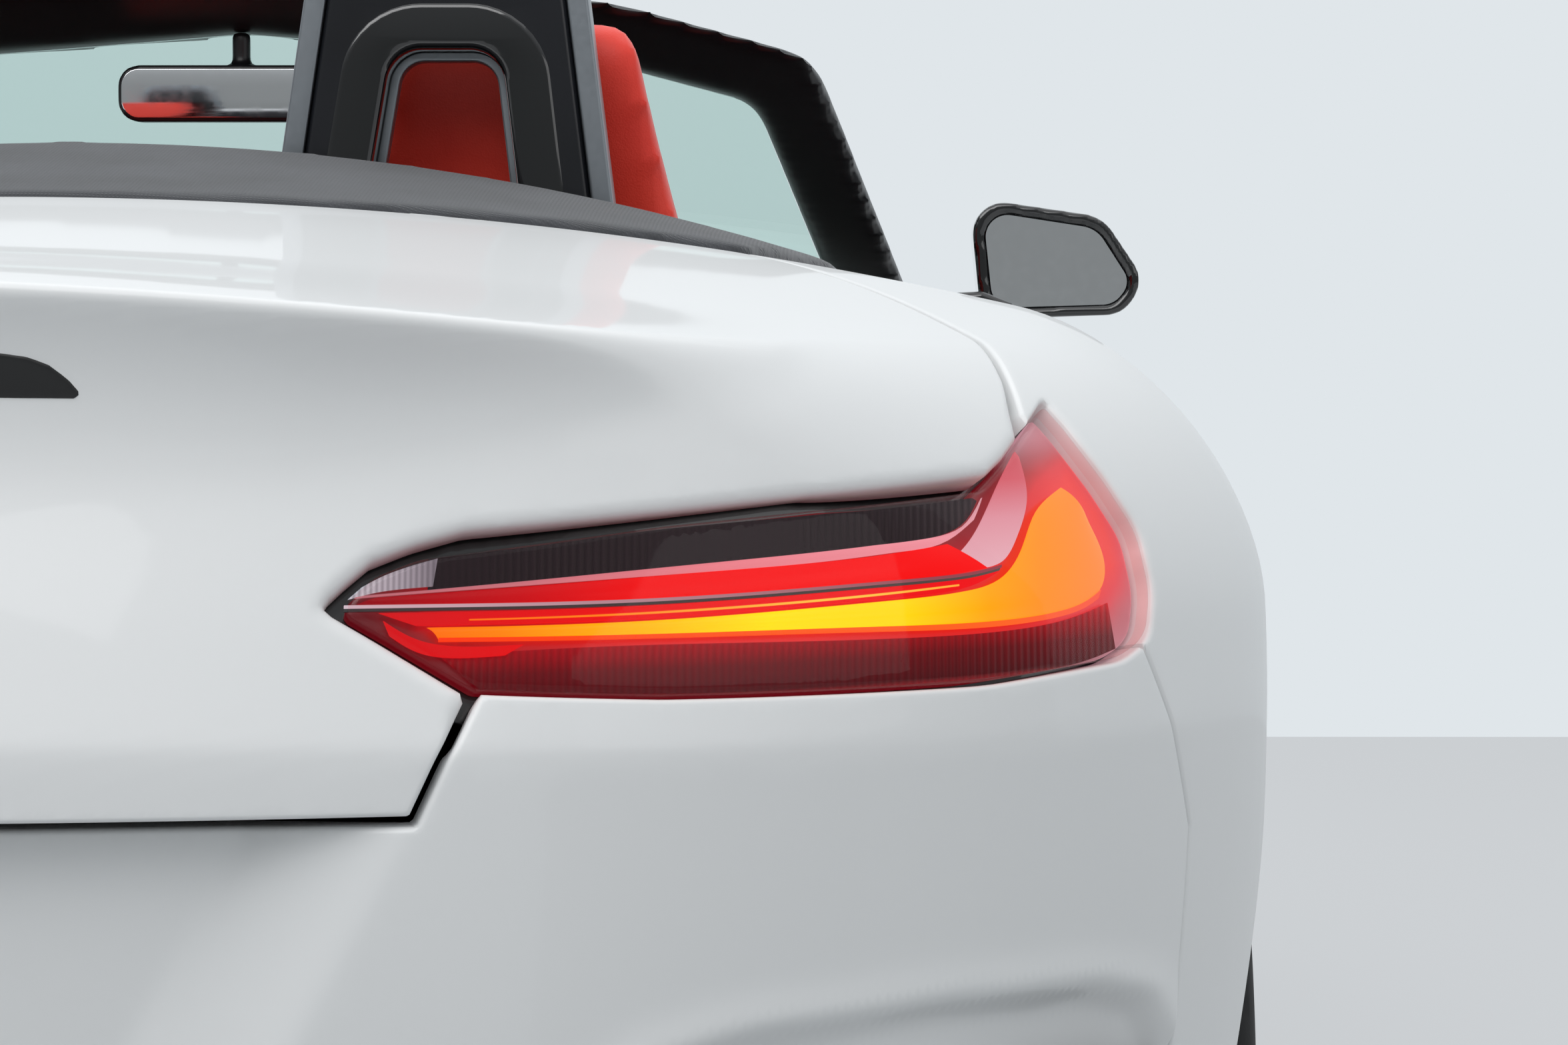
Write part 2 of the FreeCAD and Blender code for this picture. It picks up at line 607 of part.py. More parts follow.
def plate_room():
    """Space of the number plate's recess, with sloping flanks and a floor that follows the bow."""
    wires = []
    for y in (PLATE_FACE_Y - 190.0, PLATE_FACE_Y + PLATE_DEPTH):
        inward = y - PLATE_FACE_Y
        low = PLATE_LOW_Z + PLATE_LOW_FLANK * (inward + 2 * PLATE_DEPTH / 3)
        top = PLATE_TOP_Z + 54.0
        half = [PLATE_HALF - PLATE_FLANK * inward - PLATE_LEAN * (PLATE_TOP_Z - z) for z in (top, low)]
        corners = [V(half[0], y, top), V(-half[0], y, top), V(-half[1], y, low), V(half[1], y, low)]
        wires.append(Part.makePolygon(corners + corners[:1]))
    return Part.makeLoft(wires, True, True).cut(plan_solid(PLATE_DEPTH))


def rear_panels():
    """Quarter panels, boot lid, tail lamps and rear bumper."""
    back = -2300.0
    lid_opening = lid_region(SHUT_GAP)
    lid_opening = lid_opening.cut(below_lid(SHUT_GAP)).cut(mirrored(below_lid(SHUT_GAP)))
    flange = prism_xz([(LID_LOW_HALF - 20, LID_BOTTOM_Z), (LID_FLANGE_HALF, LID_BOTTOM_Z),
                       (416.0, 710.0), (LID_LOW_HALF - 20, 757.0)], -HALF_LENGTH - 60, -1900.0)
    flange = flange_shell.common(flange)
    room_z = LID_BOTTOM_Z - SHUT_GAP
    room = prism_xz([(LID_LOW_HALF - 20, room_z), (LID_FLANGE_HALF + 7, room_z), (424.0, 713.0),
                     (LID_LOW_HALF - 20, 764.0)], -HALF_LENGTH - 60, -2040.0)
    lid = shell.common(lid_region())
    lid = lid.cut(below_lid()).cut(mirrored(below_lid()))
    lid = lid.fuse(flange).fuse(mirrored(flange)).cut(high_stop_room(SEAT_GAP))
    save("boot_lid", lid)

    lamp_hole = lamp_prism(SEAM_GAP)
    seam = [(back, 100), (back, SEAM_LAMP_Z), (SEAM_LAMP_Y, SEAM_LAMP_Z),
            (QUARTER_BUMPER_Y, SEAM_SIDE_Z), (QUARTER_BUMPER_Y, 100)]
    behind_seam = prism_yz(seam, 0, 1200)
    jamb_y = DOOR_REAR_Y - SHUT_GAP
    jamb = [(DOOR_INNER_X - 60, jamb_y + DOOR_SLANT + 9), (DOOR_OUT_X + 15, jamb_y - 1),
            (1100, jamb_y - 1), (1100, back), (DOOR_INNER_X - 60, back)]
    deck = [(LID_CORNER_X + SHUT_GAP, LID_CORNER_Y), (DECK_SIDE_X, DECK_SIDE_Y), (702, jamb_y), (1100, jamb_y),
            (1100, back), (300, back)]
    side = right_shell.common(prism_xy(jamb, SILL_TOP_Z + SEAM_GAP, 1300))
    quarter = fused(side, right_shell.common(prism_xy(deck, 800, 1300)).cut(
        prism_xy([(DOOR_INNER_X - 60, 700), (1100, 700), (1100, jamb_y - 1), (DOOR_OUT_X + 15, jamb_y - 1),
                  (DOOR_INNER_X - 60, jamb_y + DOOR_SLANT + 9)], 0, 1300)))
    quarter = quarter.cut(behind_seam).cut(lid_opening).cut(lamp_hole)
    quarter = quarter.cut(box(0, 785, -2200, -700, 0, 300))
    save_pair("quarter", quarter)

    lamp = right_shell.common(lamp_prism())
    save("tail_lamps", lamp, mirrored(lamp))

    bumper = shell.common(prism_yz([(y - SEAM_GAP, z - SEAM_GAP) for y, z in seam], -1200, 1200))
    bumper = bumper.cut(lid_opening).cut(lamp_hole).cut(mirrored(lamp_hole))
    bumper = bumper.cut(room).cut(mirrored(room)).cut(plate_room())
    bumper = bumper.cut(box(-720, 720, -1985, -1600, 100, 300))
    region = box(-DIFFUSER_HALF, DIFFUSER_HALF, -2250, DIFFUSER_FRONT_Y, 100, DIFFUSER_TOP_Z)
    grown = box(-DIFFUSER_HALF - SEAM_GAP, DIFFUSER_HALF + SEAM_GAP, -2250, DIFFUSER_FRONT_Y,
                100, DIFFUSER_TOP_Z + SEAM_GAP)
    for x in (-215.0, 215.0):
        stop = box(x - 16, x + 16, -2118, -2095, 620, LID_BOTTOM_Z - SEAT_GAP)
        bumper = bumper.fuse(stop)
    save("rear_bumper", bumper.cut(grown))
    diffuser = shell.common(region)
    for side in (1, -1):
        tip_x = side * TIP_X
        diffuser = diffuser.cut(cyl_between((tip_x, -2300, TIP_Z), (tip_x, -1800, TIP_Z), TIP_R + 6))
    for x in (-300, -150, 0, 150, 300):
        fin = box(x - 5, x + 5, -2140, -1990, 186, 300).common(plan_solid(-12.0))
        diffuser = diffuser.fuse(fin)
    save("rear_diffuser", diffuser)


def nose():
    """Front bumper, headlamps at its corners and the air grilles."""
    opening = bonnet_region(SHUT_GAP)
    bumper = shell.common(box(-1200, 1200, WING_BUMPER_Y + SEAM_GAP, 2400, 0, 1300)).cut(opening)
    front = rounded_face(HEADLAMP_OUTLINE, lambda u, v: V(u, HEADLAMP_REAR_Y, v))
    hole = front.makeOffset2D(SEAM_GAP).extrude(V(0, 600, 0))
    hole.translate(V(0, -SEAM_GAP, 0))
    lamp = right_shell.common(front.extrude(V(0, 600, 0))).cut(opening)

    def grille_prism(inset, y0):
        """The grille's opening, narrowed all round."""
        (low_x, low_z, low_r), (top_x, top_z, top_r) = GRILLE_OUTLINE
        corners = [(low_x - inset, low_z + inset, low_r), (top_x - inset, top_z - inset, top_r)]
        left = [(-x, z, r) for x, z, r in corners]
        return prism_xz(left + corners[::-1], y0, 2300)

    bumper = bumper.cut(hole).cut(mirrored(hole)).cut(grille_prism(0.0, GRILLE_REAR_Y))
    save("front_bumper", bumper)
    save("headlamps", lamp, mirrored(lamp))

    frame = grille_prism(SEAM_GAP, GRILLE_REAR_Y)
    window = grille_prism(GRILLE_RIM, GRILLE_REAR_Y - 1)
    low_z, top_z = GRILLE_OUTLINE[0][1] + SEAM_GAP, GRILLE_OUTLINE[1][1] - SEAM_GAP
    half_bar = GRILLE_BAR_W / 2
    bars = [box(x - half_bar, x + half_bar, GRILLE_REAR_Y, 2300, low_z, top_z) for x in GRILLE_BARS]
    grille = shell.common(frame.cut(window).fuse(bars).removeSplitter())
    blade = box(VENT_X + SEAT_GAP, VENT_X + 62, VENT_Y0 + 3, VENT_Y1 - 3, VENT_Z0 + 3, VENT_Z1 - 3)
    blade = blade.cut(box(VENT_X + 40, 1000, VENT_Y0 - 9, VENT_Y0 + 30, 0, 1000))
    save("air_grilles", grille, blade, mirrored(blade))
    save("radiator", box(-RAIL_OUT_X, RAIL_OUT_X, 1860, 1905, 200, RAIL_Z - SEAT_GAP))


def liner(axle_y, well_x, arch_r, window):
    """Right wheel housing: an arch over the wheel and its inner wall."""
    ring = ring_x(well_x - LINER_T, LINER_OUT_X, axle_y, WHEEL_Z, arch_r, arch_r + LINER_T)
    wall = cyl_x(well_x - LINER_T, well_x, axle_y, WHEEL_Z, arch_r + 1)
    whole = ring.fuse(wall).cut(window)
    return whole.common(box(0, 1000, -2300, 2300, SILL_TOP_Z + SEAT_GAP, 1300))


def floor_pan():
    """Floor with its sills, tunnel, inner sills and jack pads."""
    rear_y = CABIN_REAR_Y - BULKHEAD_T
    pan = shell.common(box(-1200, 1200, rear_y, WING_BUMPER_Y, 0, SILL_TOP_Z))
    for side in (1, -1):
        x0, x1 = sorted((side * FRONT_WELL_X, side * 1200))
        pan = pan.cut(box(x0, x1, FRONT_AXLE_Y - FRONT_ARCH_R - 8, WING_BUMPER_Y + 5, 0, 400))
    y0, y1 = CABIN_REAR_Y + SEAT_GAP, FIREWALL_Y - SEAT_GAP
    pan = pan.fuse(box(-TUNNEL_HALF, TUNNEL_HALF, y0, y1, FLOOR_TOP_Z - 5, TUNNEL_Z))
    housing_y = REAR_AXLE_Y + REAR_ARCH_R + LINER_T + SEAT_GAP
    inner_sill = box(INNER_SILL_X, TRIM_HALF, housing_y, y1, FLOOR_TOP_Z - 5, INNER_SILL_Z)
    pads = []
    for y in JACK_PAD_Y:
        pads.append(box(JACK_PAD_X - 30, JACK_PAD_X + 30, y - 40, y + 40, JACK_PAD_Z, JACK_PAD_Z + 20))
    for piece in [inner_sill] + pads:
        pan = pan.fuse(piece).fuse(mirrored(piece))
    save("floor_pan", pan.removeSplitter())


def cabin_walls():
    """Firewall before the cabin, and the bulkhead with the hoops' shelf behind it."""
    save("firewall", box(-780, 780, FIREWALL_Y, FIREWALL_Y + FIREWALL_T, FLOOR_TOP_Z - 5, 1000).common(inside))
    wall = box(-780, 780, CABIN_REAR_Y - BULKHEAD_T, CABIN_REAR_Y, FLOOR_TOP_Z - 5, SHELF_Z)
    shelf = box(-610, 610, HOOP_Y - SHELF_HALF, HOOP_Y + SHELF_HALF, SHELF_Z - SHELF_T, SHELF_Z)
    room = cyl_x(REAR_WELL_X - LINER_T - SEAT_GAP, 1100, REAR_AXLE_Y, WHEEL_Z, REAR_ARCH_R + LINER_T + SEAT_GAP)
    save("rear_bulkhead", fused(wall, shelf).common(inside).cut(room).cut(mirrored(room)))


def boot_floor():
    """Floor of the boot with the rear wheel housings."""
    front_y = CABIN_REAR_Y - BULKHEAD_T - SEAT_GAP
    plate = box(-900, 900, -2110, front_y, BOOT_FLOOR_Z, BOOT_FLOOR_Z + BOOT_FLOOR_T)
    riser = box(-700, 700, -2085, -2060, BOOT_FLOOR_Z, 600)
    window = box(500, 640, REAR_AXLE_Y - 190, REAR_AXLE_Y + 190, 0, 500)
    housing = liner(REAR_AXLE_Y, REAR_WELL_X, REAR_ARCH_R, window)
    wheel_room = cyl_x(REAR_WELL_X, 1100, REAR_AXLE_Y, WHEEL_Z, REAR_ARCH_R)
    whole = fused(plate, riser, housing, mirrored(housing)).cut(wheel_room).cut(mirrored(wheel_room))
    save("boot_floor", whole.common(inside))


def front_rails():
    """Rails of the front end with the slam panel, the bonnet's stops and the front wheel housings."""
    rear_y = FIREWALL_Y + FIREWALL_T + SEAT_GAP
    rail = box(RAIL_X, RAIL_OUT_X, rear_y, SLAM_Y + 50, RAIL_Z, RAIL_Z + RAIL_H)
    slam = box(-RAIL_OUT_X, RAIL_OUT_X, SLAM_Y, SLAM_Y + 50, RAIL_Z, RAIL_Z + RAIL_H)
    stop = Part.makeCylinder(BONNET_STOP_R, 300, V(BONNET_STOP_X, SLAM_Y + 22, RAIL_Z + 10))
    window = box(400, 500, FRONT_AXLE_Y - 170, FRONT_AXLE_Y + 170, 0, 532)
    side = fused(rail, liner(FRONT_AXLE_Y, FRONT_WELL_X, FRONT_ARCH_R, window))
    save("front_rails", fused(slam, stop, mirrored(stop), side, mirrored(side)).common(inside))


def windscreen():
    rake = math.radians(SCREEN_RAKE)
    along = V(0, math.cos(rake), -math.sin(rake))

    def slab(thickness, behind):
        """Raked, curved slab whose front face is behind the frame's face by a distance."""
        flat = thickness / math.sin(rake)
        y0 = SCREEN_TOP_Y + FRAME_T / 2 / math.sin(rake) - behind / math.sin(rake)
        half = 800.0
        drop = SCREEN_R - math.sqrt(SCREEN_R ** 2 - half ** 2)
        z0 = SCREEN_TOP_Z + 30.0
        y0 -= 30.0 / math.tan(rake)
        side_y = y0 - drop
        front = Part.Arc(V(-half, side_y, z0), V(0, y0, z0), V(half, side_y, z0)).toShape()
        rear = Part.Arc(V(half, side_y - flat, z0), V(0, y0 - flat, z0), V(-half, side_y - flat, z0)).toShape()
        right = Part.LineSegment(V(half, side_y, z0), V(half, side_y - flat, z0)).toShape()
        left = Part.LineSegment(V(-half, side_y - flat, z0), V(-half, side_y, z0)).toShape()
        face = Part.Face(Part.Wire([front, right, rear, left]))
        return face.extrude(along * 1050.0)

    outline = prism_xz(both_halves(SCREEN_OUTLINE), -400, 1200)
    opening = prism_xz(both_halves(SCREEN_OPENING), -400, 1200)
    pane = prism_xz(both_halves([(x - (SEAT_GAP if x else 0), z - SEAT_GAP, r) for x, z, r in SCREEN_OPENING]),
                    -400, 1200)
    body = outer.copy()
    body.translate(V(0, 0, SEAT_GAP))
    frame = slab(FRAME_T, 0.0).common(outline).cut(opening)
    sill = slab(FRAME_T, 0.0).common(opening)
    lifted = outer.copy()
    lifted.translate(V(0, 0, 22.0))
    sill = sill.common(lifted)
    frame = frame.fuse(sill).cut(body).cut(bonnet_region(SHUT_GAP))
    frame = frame.cut(box(DOOR_INNER_X - 8, 900, 0, DOOR_FRONT_Y + SHUT_GAP, 0, 1000))
    frame = frame.cut(box(-900, -DOOR_INNER_X + 8, 0, DOOR_FRONT_Y + SHUT_GAP, 0, 1000))
    save("windscreen_frame", frame)
    lifted.translate(V(0, 0, SEAT_GAP))
    glass = slab(GLASS_T, FRAME_T / 2).common(pane).cut(lifted)
    save("windscreen_glass", glass)
    mirror = prism_xz([(-130, 1140, 22), (-130, 1200, 22), (130, 1200, 22), (130, 1140, 22)], 150, 176)
    stalk = cyl_between((0, 168, 1180), (0, 168, SCREEN_OPENING[0][1] - HOLLOW_GAP), 10)
    save("interior_mirror", fused(mirror, stalk))


def cabin():
    dash = prism_yz(DASH_OUTLINE, -TRIM_HALF, TRIM_HALF)
    tilt = math.radians(COLUMN_TILT)
    ahead = (0.0, math.cos(tilt), -math.sin(tilt))

    def column_point(run):
        return (-SEAT_X, STEER_Y + ahead[1] * run, STEER_Z + ahead[2] * run)

    column = cyl_between(column_point(BOSS_RUN + SEAT_GAP), column_point(COLUMN_RUN), COLUMN_R)
    hood = prism_yz(HOOD_OUTLINE, -SEAT_X - HOOD_HALF, -SEAT_X + HOOD_HALF)
    dash = fused(dash.common(inside), column, hood.common(box(-800, 800, 300, 600, 800, 960)))
    save("dashboard", dash)

    centre = V(-SEAT_X, STEER_Y, STEER_Z)
    corners = [math.radians(45.0 * i) for i in range(8)]
    grip = rounded_face([(STEER_GRIP_R * math.cos(a), STEER_GRIP_R * math.sin(a)) for a in corners],
                        lambda u, v: centre + V(STEER_R - STEER_GRIP_R + u, 0, 0) + V(*ahead) * v)
    rim = grip.revolve(centre, V(*ahead), 360)
    boss = cyl_between(column_point(-BOSS_RUN * 0.65), column_point(BOSS_RUN), BOSS_R)
    spokes = []
    for angle in (0, 180, 270):
        a = math.radians(angle)
        across = V(math.cos(a), math.sin(a) * math.sin(tilt), math.sin(a) * math.cos(tilt))
        tip = centre + across * (STEER_R - STEER_GRIP_R)
        spokes.append(cyl_between(tuple(centre), tuple(tip), STEER_SPOKE_R))
    save("steering_wheel", fused(rim, boss, *spokes))

    low = TUNNEL_Z + SEAT_GAP
    console = prism_yz([(CONSOLE_REAR_Y, low)] + CONSOLE_TOP + [(CONSOLE_TOP[-1][0], low)],
                       -TUNNEL_HALF, TUNNEL_HALF)
    lever = fused(cyl_between(LEVER_FOOT, LEVER_TOP, 11), Part.makeSphere(LEVER_KNOB_R, V(*LEVER_TOP)))
    save("centre_console", fused(console, lever))

    half = SEAT_W / 2
    cushion = prism_yz(SEAT_CUSHION, SEAT_X - half, SEAT_X + half)
    right_edge = [(half, 300.0), (half, SEAT_HIP_Z, 120.0)] + SEAT_SHOULDERS
    left_edge = [(-p[0],) + p[1:] for p in reversed(right_edge)]
    front_view = [(SEAT_X + p[0],) + tuple(p[1:]) for p in right_edge + left_edge]
    back = prism_yz(SEAT_BACK, SEAT_X - half, SEAT_X + half).common(prism_xz(front_view, -900, 100))
    rails = []
    for x in (SEAT_X - SEAT_RAIL_X, SEAT_X + SEAT_RAIL_X):
        rails.append(box(x - SEAT_RAIL_W / 2, x + SEAT_RAIL_W / 2, -480, -20, FLOOR_TOP_Z + SEAT_GAP, 330))
    save_pair("seat", fused(cushion, back, *rails))


def deck():
    """Roll hoops and the folded top's cloth cover."""
    hoop = prism_xz(HOOP_OUTLINE, HOOP_Y - HOOP_T / 2, HOOP_Y + HOOP_T / 2)
    hoop = hoop.cut(prism_xz(HOOP_HOLE, HOOP_Y - 100, HOOP_Y + 100))
    hoop.translate(V(0, 0, SEAT_GAP))
    save("roll_hoops", hoop, mirrored(hoop))

    def arch(y, crown, radius):
        """Section of the cover: crown arc on top, straight sides and flat below."""
        half = 700.0
        drop = radius - math.sqrt(radius ** 2 - half ** 2)
        low = crown - drop - COVER_T
        top = Part.Arc(V(-half, y, crown - drop), V(0, y, crown), V(half, y, crown - drop)).toShape()
        sides = [Part.LineSegment(V(half, y, crown - drop), V(half, y, low)).toShape(),
                 Part.LineSegment(V(half, y, low), V(-half, y, low)).toShape(),
                 Part.LineSegment(V(-half, y, low), V(-half, y, crown - drop)).toShape()]
        return Part.Wire([top] + sides)

    cover = Part.makeLoft([arch(*row) for row in COVER_SECTIONS], True, True)

    def side_x(y):
        """Where the cover's side edge rests against the quarter panel."""
        rear_x = LID_CORNER_X + SHUT_GAP
        share = (y - LID_CORNER_Y) / (DECK_SIDE_Y - LID_CORNER_Y)
        return rear_x + share * (DECK_SIDE_X - rear_x) - 1.2 * SEAT_GAP

    front_y = HOOP_Y - SHELF_HALF - 8
    rear_y = LID_CORNER_Y + SHUT_GAP
    front_x, rear_x = side_x(front_y), side_x(rear_y)
    outline = arc_prism([
        [(rear_x, rear_y), (0, LID_FRONT_Y + SHUT_GAP), (-rear_x, rear_y)],
        [(-rear_x, rear_y), (-front_x, front_y)],
        [(-front_x, front_y), (front_x, front_y)],
        [(front_x, front_y), (rear_x, rear_y)],
    ], 700.0, 1300.0)
    save("tonneau_cover", cover.common(outline))


def lamps_and_mirrors():
    save("high_stop_lamp", outer.common(high_stop_room()))
    housing = prism_xz(MIRROR_OUTLINE, MIRROR_Y, MIRROR_Y + 105)
    taper = prism_xy([(770, MIRROR_Y - 5), (770, 470), (850, 505, 30), (1000, 452, 30), (1000, MIRROR_Y - 5)],
                     800, 1200)
    housing = housing.common(taper)
    recess = prism_xz(MIRROR_RECESS, MIRROR_Y - 15, MIRROR_Y + MIRROR_DEPTH)
    arm = prism_yz([(405, 840), (405, 950), (455, 950), (475, 840)], 790, 842)
    skin = outer.copy()
    skin.translate(V(0, 0, SEAT_GAP))
    save_pair("mirror", fused(housing, arm).cut(skin).cut(recess))
    glass = rounded_face(MIRROR_RECESS, lambda u, v: V(u, MIRROR_Y + 3, v)).makeOffset2D(-1.5)
    glass = glass.extrude(V(0, MIRROR_DEPTH - 3 - SEAT_GAP, 0))
    save_pair("mirror_glass", glass)


def wheel(name, side, axle_y, wheel_x, width):
    """Tyre, rim with its spokes and brake disc, made on the right and mirrored for the left."""
    half = width / 2
    axis_point, axis = V(0, axle_y, WHEEL_Z), V(1, 0, 0)

    def turned(points):
        face = rounded_face(points, lambda u, v: V(wheel_x + u, axle_y, WHEEL_Z + v))
        return face.revolve(axis_point, axis, 360)

    def put(suffix, shape):
        save(suffix + "_" + name, shape if side > 0 else mirrored(shape))

    put("tyre", turned([(-half + 8, RIM_R + SEAT_GAP), (-half, TYRE_R - 34), (-half + 22, TYRE_R),
                        (half - 22, TYRE_R), (half, TYRE_R - 34), (half - 8, RIM_R + SEAT_GAP)]))
    edge = half - 4
    barrel = turned([(-edge, RIM_R - RIM_WALL), (-edge, RIM_R), (edge, RIM_R), (edge, RIM_R - RIM_WALL)])
    face_x = wheel_x + half
    hub = cyl_x(wheel_x + DISC_T / 2 + SEAT_GAP, face_x - 42, axle_y, WHEEL_Z, HUB_R)
    rim = barrel.fuse(hub)
    for i in range(SPOKES):
        foot, tip = SPOKE_W / 2 + 3, SPOKE_W / 2
        spoke = prism_yz([(-foot, 60), (foot, 60), (tip, RIM_R - 6), (-tip, RIM_R - 6)], face_x - 66, face_x - 24)
        spoke.translate(V(0, axle_y, WHEEL_Z))
        spoke.rotate(axis_point, axis, 360.0 / SPOKES * i)
        rim = rim.fuse(spoke)
    bore = cyl_x(wheel_x - 200, wheel_x + 60, axle_y, WHEEL_Z, STUB_R + SEAT_GAP)
    put("rim", rim.cut(bore))
    disc = cyl_x(wheel_x - DISC_T / 2, wheel_x + DISC_T / 2, axle_y, WHEEL_Z, DISC_R)
    put("brake_disc", disc.cut(bore))


def upright(axle_y, wheel_x, caliper_way):
    """Right hub carrier with its stub axle and brake caliper."""
    x = wheel_x - KINGPIN_INSET
    low, top = KNUCKLE_LOW_Z - WHEEL_Z, KNUCKLE_TOP_Z - WHEEL_Z
    block = prism_yz([(-52, -60, 10), (-34, low, 12), (34, low, 12), (52, -60, 10),
                      (52, 60, 10), (34, top, 12), (-34, top, 12), (-52, 60, 10)],
                     x - 24, wheel_x - DISC_T / 2 - 10)
    block.translate(V(0, axle_y, WHEEL_Z))
    stub = cyl_x(x, wheel_x + 55, axle_y, WHEEL_Z, STUB_R)
    y0, y1 = sorted((axle_y + caliper_way * 112, axle_y + caliper_way * 204))
    caliper = box(wheel_x - 46, wheel_x + 42, y0, y1, WHEEL_Z - 68, WHEEL_Z + 68)
    slot = cyl_x(wheel_x - DISC_T / 2 - 6, wheel_x + DISC_T / 2 + 6, axle_y, WHEEL_Z, DISC_R + 8)
    b0, b1 = sorted((axle_y + caliper_way * 30, axle_y + caliper_way * 140))
    bracket = box(x - 10, wheel_x - DISC_T / 2 - 10, b0, b1, WHEEL_Z - 34, WHEEL_Z + 34)
    return fused(block, stub, bracket, caliper.cut(slot))


def running_gear():
    front_pin_x = FRONT_WHEEL_X - KINGPIN_INSET
    pins = [
        Part.makeCylinder(BALL_PIN_R, EYE_H + 8, V(front_pin_x, FRONT_AXLE_Y, KNUCKLE_LOW_Z - EYE_H - 6)),
        Part.makeCylinder(BALL_PIN_R, EYE_H + 8, V(front_pin_x, FRONT_AXLE_Y, KNUCKLE_TOP_Z - 2)),
    ]
    save_pair("knuckle", fused(upright(FRONT_AXLE_Y, FRONT_WHEEL_X, -1), *pins))

    def arms(axle_y, eye_x, low_z, top_z, root_x, root_low_z, root_top_z):
        """Right lower and upper wishbones between their inner pivots and the hub carrier."""
        shapes = []
        for eye_z, root_z, spread in ((low_z, root_low_z, ARM_SPREAD), (top_z, root_top_z, 0.7 * ARM_SPREAD)):
            for way in (1, -1):
                root = (root_x, axle_y + way * spread, root_z)
                shapes.append(cyl_between(root, (eye_x, axle_y, eye_z), ARM_R))
            shapes.append(Part.makeCylinder(EYE_R, EYE_H, V(eye_x, axle_y, eye_z - EYE_H / 2)))
        return shapes

    # Front: crossmember, towers, wishbones and coil-over dampers
    base = FLOOR_TOP_Z + HOLLOW_GAP
    shapes = [box(-SUBFRAME_X - 50, SUBFRAME_X + 50, FRONT_AXLE_Y - 90, FRONT_AXLE_Y + 90, base, 236)]
    low_eye = KNUCKLE_LOW_Z - EYE_GAP - EYE_H / 2
    top_eye = KNUCKLE_TOP_Z + EYE_GAP + EYE_H / 2
    right = [box(SUBFRAME_X, RAIL_OUT_X - 12, FRONT_AXLE_Y - 140, FRONT_AXLE_Y + 140, base, RAIL_Z - SEAT_GAP)]
    right += arms(FRONT_AXLE_Y, front_pin_x, low_eye, top_eye, RAIL_X, 210, 498)
    right.append(cyl_between((545, FRONT_AXLE_Y, 190), (528, FRONT_AXLE_Y, 640), 40))
    right = fused(*right)
    hole = Part.makeCylinder(BALL_PIN_R + SEAT_GAP, 600, V(front_pin_x, FRONT_AXLE_Y, 100))
    right = right.cut(hole)
    save("front_subframe", fused(shapes[0], right, mirrored(right)))

    # Rear: crossmember, differential, half shafts, wishbones, springs and hub carriers
    rear_x = REAR_WHEEL_X - KINGPIN_INSET
    under_boot = BOOT_FLOOR_Z - SEAT_GAP
    cross = box(-430, 430, REAR_AXLE_Y - 60, REAR_AXLE_Y + 60, 215, 290)
    diff = prism_yz([(-150, 230, 40), (-150, 410, 60), (150, 410, 60), (150, 230, 40)], -110, 110)
    diff.translate(V(0, REAR_AXLE_Y, 0))
    right = [box(370, 430, REAR_AXLE_Y - 140, REAR_AXLE_Y + 140, 215, under_boot)]
    right += arms(REAR_AXLE_Y, rear_x, KNUCKLE_LOW_Z + 10, REAR_TOP_EYE_Z, 400, 250, 385)
    right.append(cyl_between((520, REAR_AXLE_Y, 225), (520, REAR_AXLE_Y, under_boot), 42))
    right.append(cyl_x(100, rear_x, REAR_AXLE_Y, WHEEL_Z, 17))
    right.append(upright(REAR_AXLE_Y, REAR_WHEEL_X, 1))
    right = fused(*right)
    save("rear_subframe", fused(cross, diff, right, mirrored(right)))

    # Engine as one plain block of its real size, on mounts
    block = fused(
        prism_xz([(-150, 262, 30), (-210, 420), (-200, 570), (-165, 590), (-160, 770, 30), (160, 770, 30),
                  (165, 590), (200, 570), (210, 420), (150, 262, 30)], 790, 1400),
        prism_xz([(-190, 290, 60), (-190, 600, 80), (190, 600, 80), (190, 290, 60)],
                 FIREWALL_Y + FIREWALL_T + 5, 800))
    mounts = box(-SUBFRAME_X + 20, SUBFRAME_X - 20, FRONT_AXLE_Y - 60, FRONT_AXLE_Y + 60, 236 + SEAT_GAP, 300)
    save("engine_block", fused(block, mounts))

    # Exhaust: pipe, cross silencer and two tips
    silencer = prism_xz([(-590, 232, 60), (-590, 402, 60), (590, 402, 60), (590, 232, 60)],
                        SILENCER_Y, SILENCER_Y + 240)
    pipe = cyl_between((190, CABIN_REAR_Y - BULKHEAD_T - SEAT_GAP, 396), (190, SILENCER_Y + 200, 396), 28)
    hangers = [box(x - 15, x + 15, SILENCER_Y + 100, SILENCER_Y + 130, 390, under_boot) for x in (-380, 380)]
    tips = []
    for x in (TIP_X, -TIP_X):
        tube = cyl_between((x, TIP_END_Y, TIP_Z), (x, SILENCER_Y + 60, TIP_Z), TIP_R)
        bore = cyl_between((x, TIP_END_Y - 9, TIP_Z), (x, SILENCER_Y - 8, TIP_Z), TIP_R - 5)
        tips.append(tube.cut(bore))
    save("exhaust", fused(silencer, pipe, *tips, *hangers))


bonnet_and_wings()
doors()
rear_panels()
nose()
floor_pan()
cabin_walls()
boot_floor()
front_rails()
windscreen()
cabin()
deck()
lamps_and_mirrors()
for name, side, axle_y, wheel_x, width in (
        ("front_right", 1, FRONT_AXLE_Y, FRONT_WHEEL_X, FRONT_TYRE_W),
        ("front_left", -1, FRONT_AXLE_Y, FRONT_WHEEL_X, FRONT_TYRE_W),
        ("rear_right", 1, REAR_AXLE_Y, REAR_WHEEL_X, REAR_TYRE_W),
        ("rear_left", -1, REAR_AXLE_Y, REAR_WHEEL_X, REAR_TYRE_W)):
    wheel(name, side, axle_y, wheel_x, width)
running_gear()
